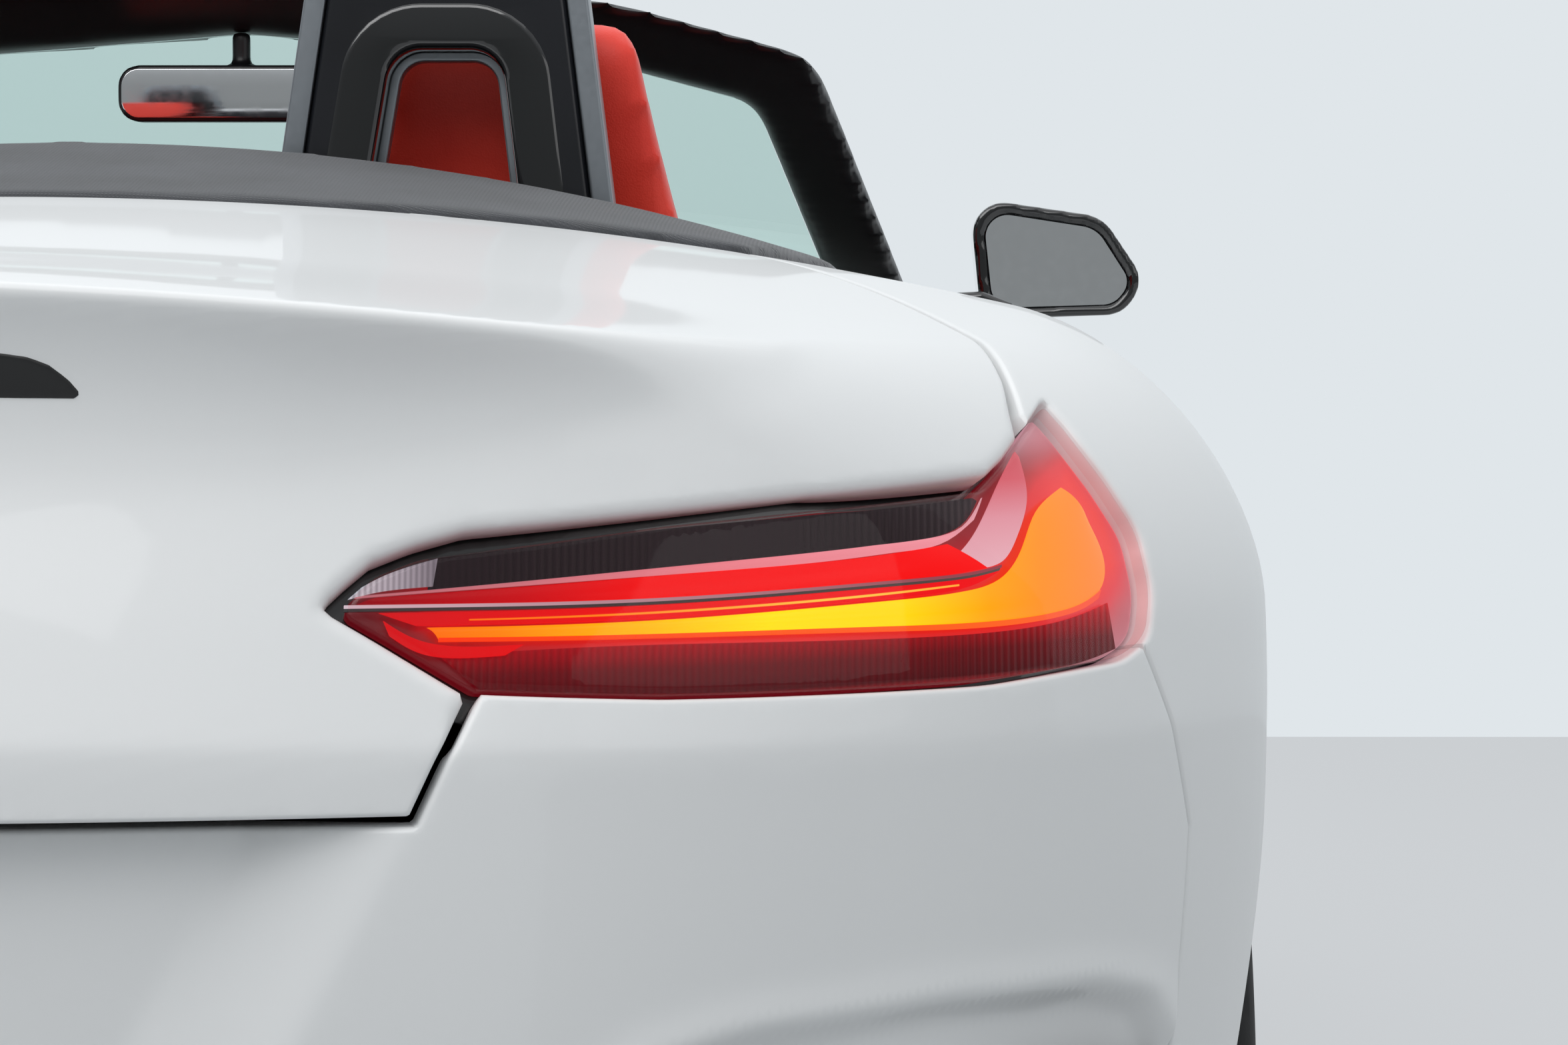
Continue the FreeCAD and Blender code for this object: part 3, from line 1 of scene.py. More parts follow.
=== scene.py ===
"""Looks of the two-seat roadster: painted skins, lamps, cloth, leather, glass, wheels and studio.
Metres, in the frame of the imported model: +Y forward, +X to the car's right, +Z up."""
import math

import bpy
import numpy as np
from mathutils import Matrix, Vector


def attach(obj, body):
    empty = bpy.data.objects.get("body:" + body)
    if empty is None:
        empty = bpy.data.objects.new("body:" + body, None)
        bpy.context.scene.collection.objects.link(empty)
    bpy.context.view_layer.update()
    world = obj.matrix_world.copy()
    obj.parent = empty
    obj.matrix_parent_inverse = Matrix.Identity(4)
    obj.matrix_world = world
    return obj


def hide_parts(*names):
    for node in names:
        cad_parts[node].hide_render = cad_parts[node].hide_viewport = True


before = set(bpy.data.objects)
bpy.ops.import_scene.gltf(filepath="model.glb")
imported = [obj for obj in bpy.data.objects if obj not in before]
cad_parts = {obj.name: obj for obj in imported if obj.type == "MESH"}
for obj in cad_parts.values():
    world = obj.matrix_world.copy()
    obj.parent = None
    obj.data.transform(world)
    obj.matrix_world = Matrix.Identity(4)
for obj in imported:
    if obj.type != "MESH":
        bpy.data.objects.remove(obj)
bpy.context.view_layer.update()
bpy.ops.object.select_all(action="DESELECT")


# Small helpers for colours, nodes and materials

def linear(code):
    """An sRGB hex colour as linear red, green, blue and alpha."""
    parts = [int(code[i:i + 2], 16) / 255 for i in (1, 3, 5)]
    return [p / 12.92 if p <= 0.04045 else ((p + 0.055) / 1.055) ** 2.4 for p in parts] + [1.0]


def add_node(tree, kind, links=(), **settings):
    """Adds a node; settings are its properties or sockets, links are (socket, other node, output)."""
    node = tree.nodes.new(kind)
    for key, value in settings.items():
        if hasattr(node, key) and key not in node.inputs:
            setattr(node, key, value)
        else:
            node.inputs[key.replace("_", " ") if key not in node.inputs else key].default_value = value
    for socket, other, output in links:
        tree.links.new(other.outputs[output], node.inputs[socket])
    return node


def material(name, colour, **sockets):
    """A Principled material; returns it with its tree and shader node."""
    made = bpy.data.materials.new(name)
    made.use_nodes = True
    tree = made.node_tree
    shader = tree.nodes["Principled BSDF"]
    shader.inputs["Base Color"].default_value = linear(colour)
    for key, value in sockets.items():
        shader.inputs[key.replace("_", " ")].default_value = value
    return made, tree, shader


def bump(tree, shader, height, output, distance, strength):
    """Feeds a height in 0..1 to the shader as bump of a real depth in metres."""
    node = add_node(tree, "ShaderNodeBump", [("Height", height, output)], Distance=distance,
                    Strength=strength)
    tree.links.new(node.outputs["Normal"], shader.inputs["Normal"])


def patterned(tree, kind, **settings):
    """A node fed with places in object space; a texture's Scale is in cells a metre."""
    place = add_node(tree, "ShaderNodeTexCoord")
    return add_node(tree, kind, [("Vector", place, "Object")], **settings)


# Body surface: one formula that every painted skin and lens is cut from

# Sections along the car, columns: y, half width at the waist, waist height, crown height,
# crown drop at the waist, shoulder radius, half width at the sill, bottom height
SECTIONS = np.array([
    (2.330, 0.790, 0.500, 0.560, 0.060, 0.060, 0.740, 0.175),
    (2.080, 0.850, 0.520, 0.672, 0.062, 0.090, 0.790, 0.165),
    (1.700, 0.889, 0.560, 0.790, 0.060, 0.110, 0.835, 0.150),
    (1.295, 0.905, 0.590, 0.872, 0.062, 0.115, 0.868, 0.150),
    (0.850, 0.887, 0.610, 0.935, 0.082, 0.110, 0.862, 0.150),
    (0.400, 0.877, 0.620, 0.980, 0.108, 0.100, 0.858, 0.150),
    (-0.100, 0.878, 0.630, 1.000, 0.118, 0.100, 0.860, 0.150),
    (-0.600, 0.893, 0.640, 1.015, 0.122, 0.110, 0.868, 0.150),
    (-0.900, 0.917, 0.655, 1.020, 0.124, 0.130, 0.885, 0.152),
    (-1.175, 0.932, 0.665, 1.016, 0.126, 0.145, 0.893, 0.158),
    (-1.550, 0.912, 0.670, 0.986, 0.118, 0.150, 0.858, 0.172),
    (-1.900, 0.866, 0.672, 0.951, 0.100, 0.130, 0.800, 0.190),
    (-2.330, 0.790, 0.672, 0.905, 0.080, 0.100, 0.720, 0.215),
])
SIDE_BULGE_R = 1.5
CREASE_Z = 0.691
# Tail and nose seen from the side, columns: height, y at the middle of the car
TAIL = np.array([(0.10, -2.035), (0.25, -2.090), (0.42, -2.138), (0.56, -2.155), (CREASE_Z, -2.162),
                 (0.76, -2.141), (0.82, -2.121), (0.93, -2.088), (1.25, -2.030)])
NOSE = np.array([
    (0.10, 2.040), (0.25, 2.120), (0.42, 2.156), (0.56, 2.160), (0.691, 2.135), (0.76, 2.110),
    (0.93, 2.070), (1.25, 2.050)])
END_BOW = 0.311           # how the ends bow back: metres for x squared
CORNER_R = 0.40
LIP_R = 0.011
LIP_OUT = 0.052           # how far the ducktail stands out over its hollow
TAIL_LIFT = 0.016         # how far it lifts the deck's end
TAIL_LIFT_HALF = 0.66     # half width of that lift
# Lower edge of the hollow under the ducktail, columns: x, height
HOLLOW_LOW = np.array([(0.0, 0.815), (0.32, 0.818), (0.463, 0.837), (0.572, 0.872), (0.66, 0.905)])
# Wheels and their arches
FRONT_AXLE_Y, REAR_AXLE_Y, AXLE_Z = 1.295, -1.175, 0.333
FRONT_ARCH_R, REAR_ARCH_R = 0.380, 0.372
# The sampled surface: columns round the tail, along the side and round the nose
TAIL_COLUMNS, SIDE_COLUMNS, NOSE_COLUMNS = 116, 74, 60
SIDE_END_Y = 1.25         # the side's columns stand square to the car as far as this
TAIL_RUN, NOSE_RUN = 0.45, 0.40
ROWS, RAYS = 110, 330
RAY_Z = 0.60              # height that the rays of a column start from
RAY_INSET = 0.36          # how far inside the side they start
RAY_REACH = 1.9
LOWEST_RAY = math.radians(-70)
ROW_LENGTH, ROW_TURN = 0.012, math.radians(7)
PROBE = 0.0004            # distance over which slopes are measured
UNDERSIDE_Z = 0.12        # the surface below this is left out
SIDES = ((1, "_right"), (-1, "_left"))


def smooth(low, high, value):
    t = np.clip((value - low) / (high - low), 0.0, 1.0)
    return t * t * (3.0 - 2.0 * t)


def spline(knots, values):
    """Natural cubic spline through the knots, read from a fine table."""
    order = np.argsort(knots)
    x, v = knots[order], values[order]
    h = np.diff(x)
    n = len(x)
    system = np.eye(n)
    right = np.zeros(n)
    for i in range(1, n - 1):
        system[i, i - 1:i + 2] = h[i - 1], 2 * (h[i - 1] + h[i]), h[i]
        right[i] = 6 * ((v[i + 1] - v[i]) / h[i] - (v[i] - v[i - 1]) / h[i - 1])
    m = np.linalg.solve(system, right)
    fine = np.linspace(x[0], x[-1], 6001)
    k = np.clip(np.searchsorted(x, fine, side="right") - 1, 0, n - 2)
    a, b = x[k + 1] - fine, fine - x[k]
    table = ((m[k] * a ** 3 + m[k + 1] * b ** 3) / (6 * h[k]) + (v[k] / h[k] - m[k] * h[k] / 6) * a
             + (v[k + 1] / h[k] - m[k + 1] * h[k] / 6) * b)
    return lambda q: np.interp(q, fine, table)


def profile(rows, soft=0.004):
    """Height to y through straight runs whose corners are rounded by about soft."""
    fine = np.linspace(rows[0, 0], rows[-1, 0], 2301)
    table = np.interp(fine, rows[:, 0], rows[:, 1])
    step = fine[1] - fine[0]
    reach = np.arange(-40, 41) * step
    kernel = np.exp(-0.5 * (reach / soft) ** 2)
    kernel /= kernel.sum()
    padded = np.concatenate([np.full(40, table[0]), table, np.full(40, table[-1])])
    table = np.convolve(padded, kernel, mode="valid")
    return lambda q: np.interp(q, fine, table)


half_w, waist_z, crown_z, crown_drop, shoulder_r, sill_w, bottom_z = [
    spline(SECTIONS[:, 0], SECTIONS[:, i]) for i in range(1, 8)]
tail_low = spline(TAIL[:5, 0], TAIL[:5, 1])
nose_at = spline(NOSE[:, 0], NOSE[:, 1])
tail_rows = np.array([(z, tail_low(z)) for z in np.linspace(0.10, CREASE_Z, 30)]
                     + [tuple(row) for row in TAIL[5:]])
tail_at = profile(tail_rows)


def side_at(y, z):
    """Half width of the body side, bulged above the waist and tucked in below it."""
    w, waist, sill = half_w(y), waist_z(y), sill_w(y)
    rise = z - waist
    above = SIDE_BULGE_R - np.sqrt(np.maximum(SIDE_BULGE_R ** 2 - rise ** 2, 0.01))
    tuck_r = ((w - sill) ** 2 + (waist - bottom_z(y)) ** 2) / (2 * np.maximum(w - sill, 0.005))
    below = tuck_r - np.sqrt(np.maximum(tuck_r ** 2 - rise ** 2, 0.01))
    return w - np.where(rise > 0, above, below)


def top_at(x, y):
    """Height of bonnet and deck, with the small lift of the ducktail."""
    w, drop = half_w(y), crown_drop(y)
    r = (w * w + drop * drop) / (2 * drop)
    lift = TAIL_LIFT * smooth(-1.72, -2.13, y) * np.clip(1 - (x / TAIL_LIFT_HALF) ** 2, 0, 1)
    return crown_z(y) + lift - (r - np.sqrt(np.maximum(r * r - x * x, 0.01)))


def tail_y(x, z):
    ax = np.abs(x)
    bow = END_BOW * ax * ax
    low = np.interp(ax, HOLLOW_LOW[:, 0], HOLLOW_LOW[:, 1])
    high = top_at(ax, -2.12 + bow)
    share = np.clip((z - low) / np.maximum(high - low, 0.02), 0.0, 1.4)
    out = LIP_OUT * (1 - smooth(0.30, TAIL_LIFT_HALF, ax))
    return tail_at(z + 0.034 * ax * ax) + bow - out * share ** 2.2


def blend_max(a, b, radius):
    """The larger of two distances, rounded where both are near."""
    u, v = np.maximum(a + radius, 0), np.maximum(b + radius, 0)
    return np.minimum(np.maximum(a, b), -radius) + np.hypot(u, v)


def body(x, y, z):
    """Signed distance, roughly: under zero inside the body."""
    side = np.abs(x) - side_at(y, z)
    slope = np.hypot(1.0, 2 * END_BOW * x)
    tail = (tail_y(x, z) - y) / slope
    nose = (y - nose_at(z) + END_BOW * x * x) / slope
    wall = blend_max(blend_max(side, tail, CORNER_R), nose, CORNER_R)
    back = smooth(-1.60, -1.95, y)
    wide = smooth(0.44, 0.74, np.abs(x))
    radius = shoulder_r(y)
    radius = radius * (1 - back) + back * (LIP_R + (radius - LIP_R) * wide)
    return blend_max(wall, z - top_at(x, y), radius)


def gradient(p, field=body):
    """How a distance changes along x, y and z."""
    g = np.empty_like(p)
    for axis in range(3):
        ahead, behind = p.copy(), p.copy()
        ahead[..., axis] += PROBE
        behind[..., axis] -= PROBE
        g[..., axis] = (field(*np.moveaxis(ahead, -1, 0)) - field(*np.moveaxis(behind, -1, 0))) / (2 * PROBE)
    return g


def unit(vectors):
    """Vectors brought to length one."""
    return vectors / np.maximum(np.linalg.norm(vectors, axis=1, keepdims=True), 1e-9)


def running(steps):
    """Sums of the steps so far, from 0."""
    return np.concatenate([[0], np.cumsum(steps)])


def resampled(want, run, points):
    """Points at the places want along a line whose own points lie at run."""
    return np.stack([np.interp(want, run, values) for values in points.T], -1)


def on_body(points):
    """Points moved onto the body's surface."""
    g = gradient(points)
    size = np.maximum((g * g).sum(-1, keepdims=True), 1e-9)
    return points - np.clip(body(*np.moveaxis(points, -1, 0))[..., None] * g / size, -0.002, 0.002)


def columns():
    """Centre points and directions of the upright planes that the surface is sampled in."""
    rear = np.linspace(math.pi / 2, 0, TAIL_COLUMNS)[:-1]
    front = np.linspace(0, math.pi / 2, NOSE_COLUMNS)[1:]
    side = np.linspace(-SIDE_END_Y, SIDE_END_Y, SIDE_COLUMNS)
    angle = np.concatenate([rear, np.zeros(len(side)), front])
    centre = np.concatenate([-SIDE_END_Y - TAIL_RUN * smooth(0, math.pi / 2, rear), side,
                             SIDE_END_Y + NOSE_RUN * smooth(0, math.pi / 2, front)])
    way = np.concatenate([-np.ones(len(rear)), np.ones(len(side) + len(front))])
    return centre, np.cos(angle), way * np.sin(angle)


def sample_body():
    """Right half of the body surface as a grid of points, one column per upright plane."""
    centre, ux, uy = columns()
    count = len(centre)

    def hit(origin, outward, up):
        low, high = np.zeros(up.shape), np.full(up.shape, RAY_REACH)
        for _ in range(26):
            mid = (low + high) / 2
            inside = body(origin[0] + ux[:, None] * outward * mid, origin[1] + uy[:, None] * outward * mid,
                          origin[2] + up * mid) < 0
            low = np.where(inside, mid, low)
            high = np.where(inside, high, mid)
        return (low + high) / 2

    zero = np.zeros((count, 1))
    reach = hit((zero, centre[:, None], RAY_Z + zero), np.ones((count, 1)), zero)
    inset = reach[:, 0] - RAY_INSET
    start = (ux * inset, centre + uy * inset, RAY_Z)
    last = np.arctan2(top_at(0.0, centre) - RAY_Z, -inset)
    shoulder = np.arctan2(top_at(start[0], start[1]) - RAY_Z - 0.02, 0.33)
    share = np.linspace(0, 1, RAYS)
    beta = np.empty((count, RAYS))
    for i in range(count):
        fine = np.linspace(LOWEST_RAY, last[i], 1500)
        density = 1.0 + 5.0 * np.exp(-((fine - shoulder[i]) / 0.10) ** 2)
        total = running((density[1:] + density[:-1]) / 2)
        beta[i] = np.interp(share, total / total[-1], fine)
    origin = (start[0][:, None], start[1][:, None], start[2])
    run = hit(origin, np.cos(beta), np.sin(beta))
    points = np.stack([origin[0] + ux[:, None] * np.cos(beta) * run,
                       origin[1] + uy[:, None] * np.cos(beta) * run,
                       origin[2] + np.sin(beta) * run], -1)
    grid = np.empty((count, ROWS, 3))
    for i, p in enumerate(points):
        step = np.diff(p, axis=0)
        way = unit(step)
        turn = np.zeros(RAYS - 1)
        turn[1:] = np.arccos(np.clip((way[1:] * way[:-1]).sum(1), -1, 1))
        total = running(np.linalg.norm(step, axis=1) / ROW_LENGTH + turn / ROW_TURN)
        grid[i] = resampled(np.linspace(0, total[-1], ROWS), total, p)
    for _ in range(2):
        grid = on_body(grid)
        grid[:, -1, 0] = 0.0
        grid[[0, -1], :, 0] = 0.0
    return grid


def grid_triangles(columns_n, rows_n):
    index = np.arange(columns_n * rows_n).reshape(columns_n, rows_n)
    a, b, c, d = index[:-1, :-1], index[1:, :-1], index[1:, 1:], index[:-1, 1:]
    first = np.stack([a, b, c], -1).reshape(-1, 3)
    second = np.stack([a, c, d], -1).reshape(-1, 3)
    return np.concatenate([first, second])


body_grid = sample_body()
BODY_POINTS = body_grid.reshape(-1, 3)
BODY_TRIANGLES = grid_triangles(*body_grid.shape[:2])
BODY_TRIANGLES = BODY_TRIANGLES[(BODY_POINTS[BODY_TRIANGLES][..., 2] > UNDERSIDE_Z).all(1)]


# Outlines that cut the skins, as signed distances that are under zero inside

def arc_points(a, b, c, count=24):
    """Points on the arc from a through b to c, without the last."""
    (ax, ay), (bx, by), (cx, cy) = a, b, c
    d = 2 * (ax * (by - cy) + bx * (cy - ay) + cx * (ay - by))
    aa, bb, cc = ax * ax + ay * ay, bx * bx + by * by, cx * cx + cy * cy
    ux = (aa * (by - cy) + bb * (cy - ay) + cc * (ay - by)) / d
    uy = (aa * (cx - bx) + bb * (ax - cx) + cc * (bx - ax)) / d
    r = math.hypot(ax - ux, ay - uy)
    start, mid, end = (math.atan2(p[1] - uy, p[0] - ux) for p in (a, b, c))
    turn = (end - start) % (2 * math.pi)
    if (mid - start) % (2 * math.pi) > turn:
        turn -= 2 * math.pi
    return [(ux + r * math.cos(start + turn * i / count), uy + r * math.sin(start + turn * i / count))
            for i in range(count)]


def arcs(*points):
    """A chain of arcs: start, point on the way, end and next start, point on the way, and so on."""
    return [p for i in range(0, len(points) - 2, 2) for p in arc_points(*points[i:i + 3])]


def rounded(points, steps=6):
    """Closed outline from corners (u, v, radius) with each corner turned into an arc."""
    out = []
    for i, (u, v, r) in enumerate(points):
        before, after = Vector(points[i - 1][:2]), Vector(points[(i + 1) % len(points)][:2])
        here = Vector((u, v))
        a, b = before - here, after - here
        half = a.angle(b) / 2
        if r <= 0 or half > math.pi / 2 - 0.01:
            out.append((u, v))
            continue
        run = min(r / math.tan(half), 0.48 * a.length, 0.48 * b.length)
        r = run * math.tan(half)
        centre = here + (a.normalized() + b.normalized()).normalized() * (r / math.sin(half))
        first, second = here + a.normalized() * run - centre, here + b.normalized() * run - centre
        for k in range(steps + 1):
            spoke = first.lerp(second, k / steps).normalized() * r
            out.append(tuple(centre + spoke))
    return out


def shrunk(corners, inset):
    """Corners (u, v, radius) of an outline drawn clockwise, moved inwards by a distance."""
    out = []
    for i, (u, v, r) in enumerate(corners):
        here = Vector((u, v))
        before = (here - Vector(corners[i - 1][:2])).normalized()
        after = (Vector(corners[(i + 1) % len(corners)][:2]) - here).normalized()
        right_a, right_b = Vector((before.y, -before.x)), Vector((after.y, -after.x))
        mid = (right_a + right_b).normalized()
        moved = here + mid * (inset / max(mid.dot(right_a), 0.2))
        out.append((moved.x, moved.y, max(r - inset, 0.002)))
    return out


def outline_distance(u, v, outline):
    """Signed distance of points (u, v) to a closed outline, under zero inside."""
    best = np.full(u.shape, 9.0)
    inside = np.zeros(u.shape, bool)
    for i in range(len(outline)):
        (ax, ay), (bx, by) = outline[i - 1], outline[i]
        dx, dy = bx - ax, by - ay
        t = np.clip(((u - ax) * dx + (v - ay) * dy) / (dx * dx + dy * dy + 1e-12), 0, 1)
        best = np.minimum(best, np.hypot(u - ax - t * dx, v - ay - t * dy))
        if ay != by:
            crosses = ((ay > v) != (by > v)) & (u < ax + (v - ay) * dx / (by - ay))
            inside ^= crosses
    return np.where(inside, -best, best)


SHUT, SEAM = 0.006, 0.0008
BONNET = arcs((-0.690, 0.800), (0, 0.880), (0.690, 0.800), (0.656, 1.335), (0.590, 1.870), (0, 1.990),
              (-0.590, 1.870), (-0.656, 1.335), (-0.690, 0.800))
LID = (arcs((0.550, -1.105), (0, -1.205), (-0.550, -1.105), (-0.668, -1.440), (-0.743, -1.880))
       + [(-0.743, -1.880), (-0.743, -2.4), (0.743, -2.4)]
       + arcs((0.743, -1.880), (0.668, -1.440), (0.550, -1.105)))
# Opening of the tail lamp and the lens in it, seen from behind: x, height, corner radius
LAMP = rounded([
    (0.3435, 0.764, 0.006), (0.421, 0.718, 0.004), (0.525, 0.7118, 0.3), (0.709, 0.707, 0.3),
    (0.796, 0.712, 0.03), (0.816, 0.722, 0.02), (0.8195, 0.752, 0.06), (0.812, 0.788, 0.06),
    (0.791, 0.821, 0.1), (0.766, 0.8545, 0.1), (0.752, 0.870, 0.003), (0.7235, 0.837, 0.05),
    (0.713, 0.8275, 0.01), (0.524, 0.812, 0.3), (0.389, 0.7965, 0.05), (0.365, 0.787, 0.02)])
LENS = rounded([
    (0.3505, 0.764, 0.006), (0.424, 0.720, 0.004), (0.525, 0.7135, 0.3), (0.709, 0.7087, 0.3),
    (0.795, 0.7135, 0.03), (0.8145, 0.723, 0.02), (0.818, 0.752, 0.06), (0.8105, 0.788, 0.06),
    (0.7895, 0.8205, 0.1), (0.765, 0.853, 0.1), (0.752, 0.868, 0.003), (0.725, 0.836, 0.05),
    (0.707, 0.819, 0.01), (0.524, 0.8052, 0.3), (0.392, 0.7895, 0.05), (0.369, 0.7805, 0.02)])
# Where the lid ends beside the lamp and over the bumper, its right side seen from behind
LID_SIDE = [
    (0.336, 0.5), (0.387, 0.648), (0.419, 0.7165), (0.369, 0.747), (0.347, 0.760), (0.3425, 0.764),
    (0.3455, 0.769), (0.354, 0.777), (0.367, 0.788), (0.389, 0.7965), (0.417, 0.804), (0.524, 0.8125),
    (0.631, 0.8215), (0.712, 0.828), (0.7235, 0.8375), (0.753, 0.871), (0.96, 0.884), (0.96, 0.5)]
LID_LOW_Z = 0.652
LAMP_FRONT_Y = -1.62
HEADLAMP = rounded([(0.520, 0.566, 0.02), (0.560, 0.648, 0.02), (0.900, 0.740, 0.02), (0.900, 0.612, 0.02)])
GRILLE = rounded([(0.430, 0.300, 0.04), (0.470, 0.470, 0.06), (-0.470, 0.470, 0.06), (-0.430, 0.300, 0.04)])
STOP_HALF = [
    (0.170, 0.9015), (0.184, 0.8995), (0.196, 0.895), (0.2065, 0.8865), (0.212, 0.8795), (0.2105, 0.8755),
    (0.169, 0.876)]
HIGH_STOP = [(-x, z) for x, z in reversed(STOP_HALF)] + STOP_HALF
# Hollow at the bumper's lower corner and the round-topped vent in it
CORNER_HOLLOW = rounded([
    (0.500, 0.508, 0.03), (0.569, 0.525, 0.2), (0.680, 0.528, 0.3), (0.779, 0.520, 0.1),
    (0.819, 0.502, 0.03), (0.840, 0.458, 0.03), (0.846, 0.340, 0.04), (0.800, 0.285, 0.05),
    (0.660, 0.275, 0.03), (0.560, 0.300, 0.05), (0.480, 0.400, 0.05)])
CORNER_VENT = rounded([
    (0.770, 0.345, 0.012), (0.7735, 0.482, 0.014), (0.786, 0.4925, 0.012), (0.802, 0.490, 0.02),
    (0.818, 0.474, 0.02), (0.826, 0.450, 0.02), (0.828, 0.345, 0.012)])
# Where the panels end
PANEL_LOW_Z = 0.2328
WING_REAR_Y, WING_FRONT_Y, WING_INNER_X, WING_COWL_Y = 0.606, 1.700, 0.6968, 0.86
DOOR_REAR_Y, DOOR_FRONT_Y, DOOR_INNER_X, DOOR_LOW_Z = -0.640, 0.600, 0.735, 0.238
COWL_HALF, COWL_FRONT_Y = 0.696, 0.90
REAR_BUMPER_FRONT_Y = -1.30
DIFFUSER_TOP_Z, DIFFUSER_HALF = 0.3588, 0.6558
FRONT_BUMPER_REAR_Y, FRONT_BUMPER_LOW_Z = 1.7008, 0.155
HEADLAMP_REAR_Y, GRILLE_REAR_Y = 1.7215, 1.9
HIGH_STOP_FRONT_Y, TAIL_FRONT_Y = -1.9, -1.6
# The plate's recess in the rear bumper and the hollow at the bumper's lower corners
PLATE_HALF, PLATE_TOP_Z, PLATE_LOW_Z = 0.388, 0.646, 0.42
PLATE_DEEP, PLATE_LEAN = 0.028, 0.06
FLANK_LEAN, FLANK_RUN, PLATE_LOW_RUN = 0.545, 0.088, 0.03
HOLLOW_DEEP, HOLLOW_RUN = 0.012, 0.016
HOLLOW_LIP, HOLLOW_LIP_RUN = 0.0035, 0.014


def from_behind(outline, front_y, wider=0.0):
    """A cut on both sides of the car by an outline of x and height, behind front_y."""
    return lambda x, y, z: np.maximum(outline_distance(np.abs(x), z, outline) - wider, y - front_y)


lamp_at = from_behind(LAMP, LAMP_FRONT_Y)
lens_at = from_behind(LENS, LAMP_FRONT_Y)
lamp_tray_at = from_behind(LAMP, LAMP_FRONT_Y, 0.014)
vent_at = from_behind(CORNER_VENT, TAIL_FRONT_Y)


def bonnet_at(x, y, z):
    return outline_distance(x, y, BONNET)


def lid_at(x, y, z):
    above = outline_distance(x, y, LID)
    beside = -outline_distance(np.abs(x), z, LID_SIDE)
    beside = np.where(y < -1.5, beside, -1.0)
    return np.maximum(np.maximum(above, LID_LOW_Z - z), beside)


def lid_roll(x, y, z):
    """How much wider the lid's edge rolls over where it faces the tail lamp."""
    return 1.0 + 2.0 * smooth(0.030, 0.012, lamp_at(x, y, z))


def wing_at(x, y, z):
    arch = np.where(x > 0.45, FRONT_ARCH_R - np.hypot(y - FRONT_AXLE_Y, z - AXLE_Z), -1.0)
    cowl = np.minimum(WING_INNER_X - x, WING_COWL_Y - y)
    return np.maximum.reduce([WING_REAR_Y - y, y - WING_FRONT_Y, SHUT - bonnet_at(x, y, z), cowl,
                              PANEL_LOW_Z - z, arch])


def door_at(x, y, z):
    return np.maximum.reduce([y - DOOR_FRONT_Y, DOOR_REAR_Y - y, DOOR_LOW_Z - z, DOOR_INNER_X - x])


def cowl_at(x, y, z):
    return np.maximum.reduce([WING_REAR_Y - y, x - COWL_HALF, SHUT - bonnet_at(x, y, z), y - COWL_FRONT_Y])


def seam_side(y, z):
    """Under zero above the seam between quarter panel and rear bumper."""
    low = [(-2.6, -0.2), (-2.6, 0.748), (-1.770, 0.748), (-1.700, 0.600), (-1.700, -0.2)]
    return -outline_distance(y, z, low)


def quarter_at(x, y, z):
    deck = outline_distance(x, y, [
        (0.556, -1.105), (0.684, -0.760), (0.702, -0.646), (1.1, -0.646), (1.1, -2.4), (0.30, -2.4),
        (0.30, -1.105)])
    arch = REAR_ARCH_R - np.hypot(y - REAR_AXLE_Y, z - AXLE_Z)
    return np.maximum.reduce([SHUT - lid_at(x, y, z), SEAM - lamp_at(x, y, z), seam_side(y, z) + SEAM, deck,
                              arch, PANEL_LOW_Z - z])


def rear_bumper_at(x, y, z):
    diffuser = np.minimum(DIFFUSER_TOP_Z - z, DIFFUSER_HALF - x)
    return np.maximum.reduce([-seam_side(y, z), SHUT - lid_at(x, y, z), SEAM - lamp_at(x, y, z), diffuser,
                              y - REAR_BUMPER_FRONT_Y, PANEL_LOW_Z - z])


def front_bumper_at(x, y, z):
    grille = np.where(y > GRILLE_REAR_Y, -outline_distance(x, z, GRILLE), -1.0)
    lamp = SEAM - outline_distance(x, z, HEADLAMP)
    return np.maximum.reduce([FRONT_BUMPER_REAR_Y - y, SHUT - bonnet_at(x, y, z), grille, lamp,
                              FRONT_BUMPER_LOW_Z - z])


def headlamp_at(x, y, z):
    return np.maximum.reduce([outline_distance(x, z, HEADLAMP), HEADLAMP_REAR_Y - y,
                              SHUT - bonnet_at(x, y, z)])


def high_stop_at(x, y, z):
    return np.maximum(outline_distance(x, z, HIGH_STOP), y - HIGH_STOP_FRONT_Y)


def soft_ramp(t, soft):
    """From 0 to 1 as t does, with both corners rounded."""
    def bend(s):
        return 0.5 * (np.sqrt(s * s + soft * soft) + s)
    return bend(t) - bend(t - 1.0)


def bumper_relief(points, normals):
    """The plate's recess with its sloping flanks, and the hollow round the corner vent."""
    x, z = np.abs(points[:, 0]), points[:, 2]
    flank = (PLATE_HALF - x) - (PLATE_TOP_Z - z) * FLANK_LEAN
    plate = soft_ramp(flank / FLANK_RUN, 0.07) * soft_ramp((z - PLATE_LOW_Z) / PLATE_LOW_RUN, 0.2)
    away = outline_distance(x, z, CORNER_HOLLOW)
    lip = HOLLOW_LIP * np.exp(-(np.maximum(away, 0) / HOLLOW_LIP_RUN) ** 2)
    hollow = HOLLOW_DEEP * soft_ramp(-away / HOLLOW_RUN, 0.16)
    low = np.where(points[:, 1] < TAIL_FRONT_Y, 1.0, 0.0)
    points = points + normals * ((lip - hollow) * low)[:, None]
    points[:, 1] += (PLATE_DEEP + PLATE_LEAN * (LID_LOW_Z - z)) * plate * low
    return points


# Cutting of the sampled surface

def stack(*corners):
    return np.stack(corners, -1)


def edge_pairs(triangles):
    return np.concatenate([triangles[:, [0, 1]], triangles[:, [1, 2]], triangles[:, [2, 0]]])


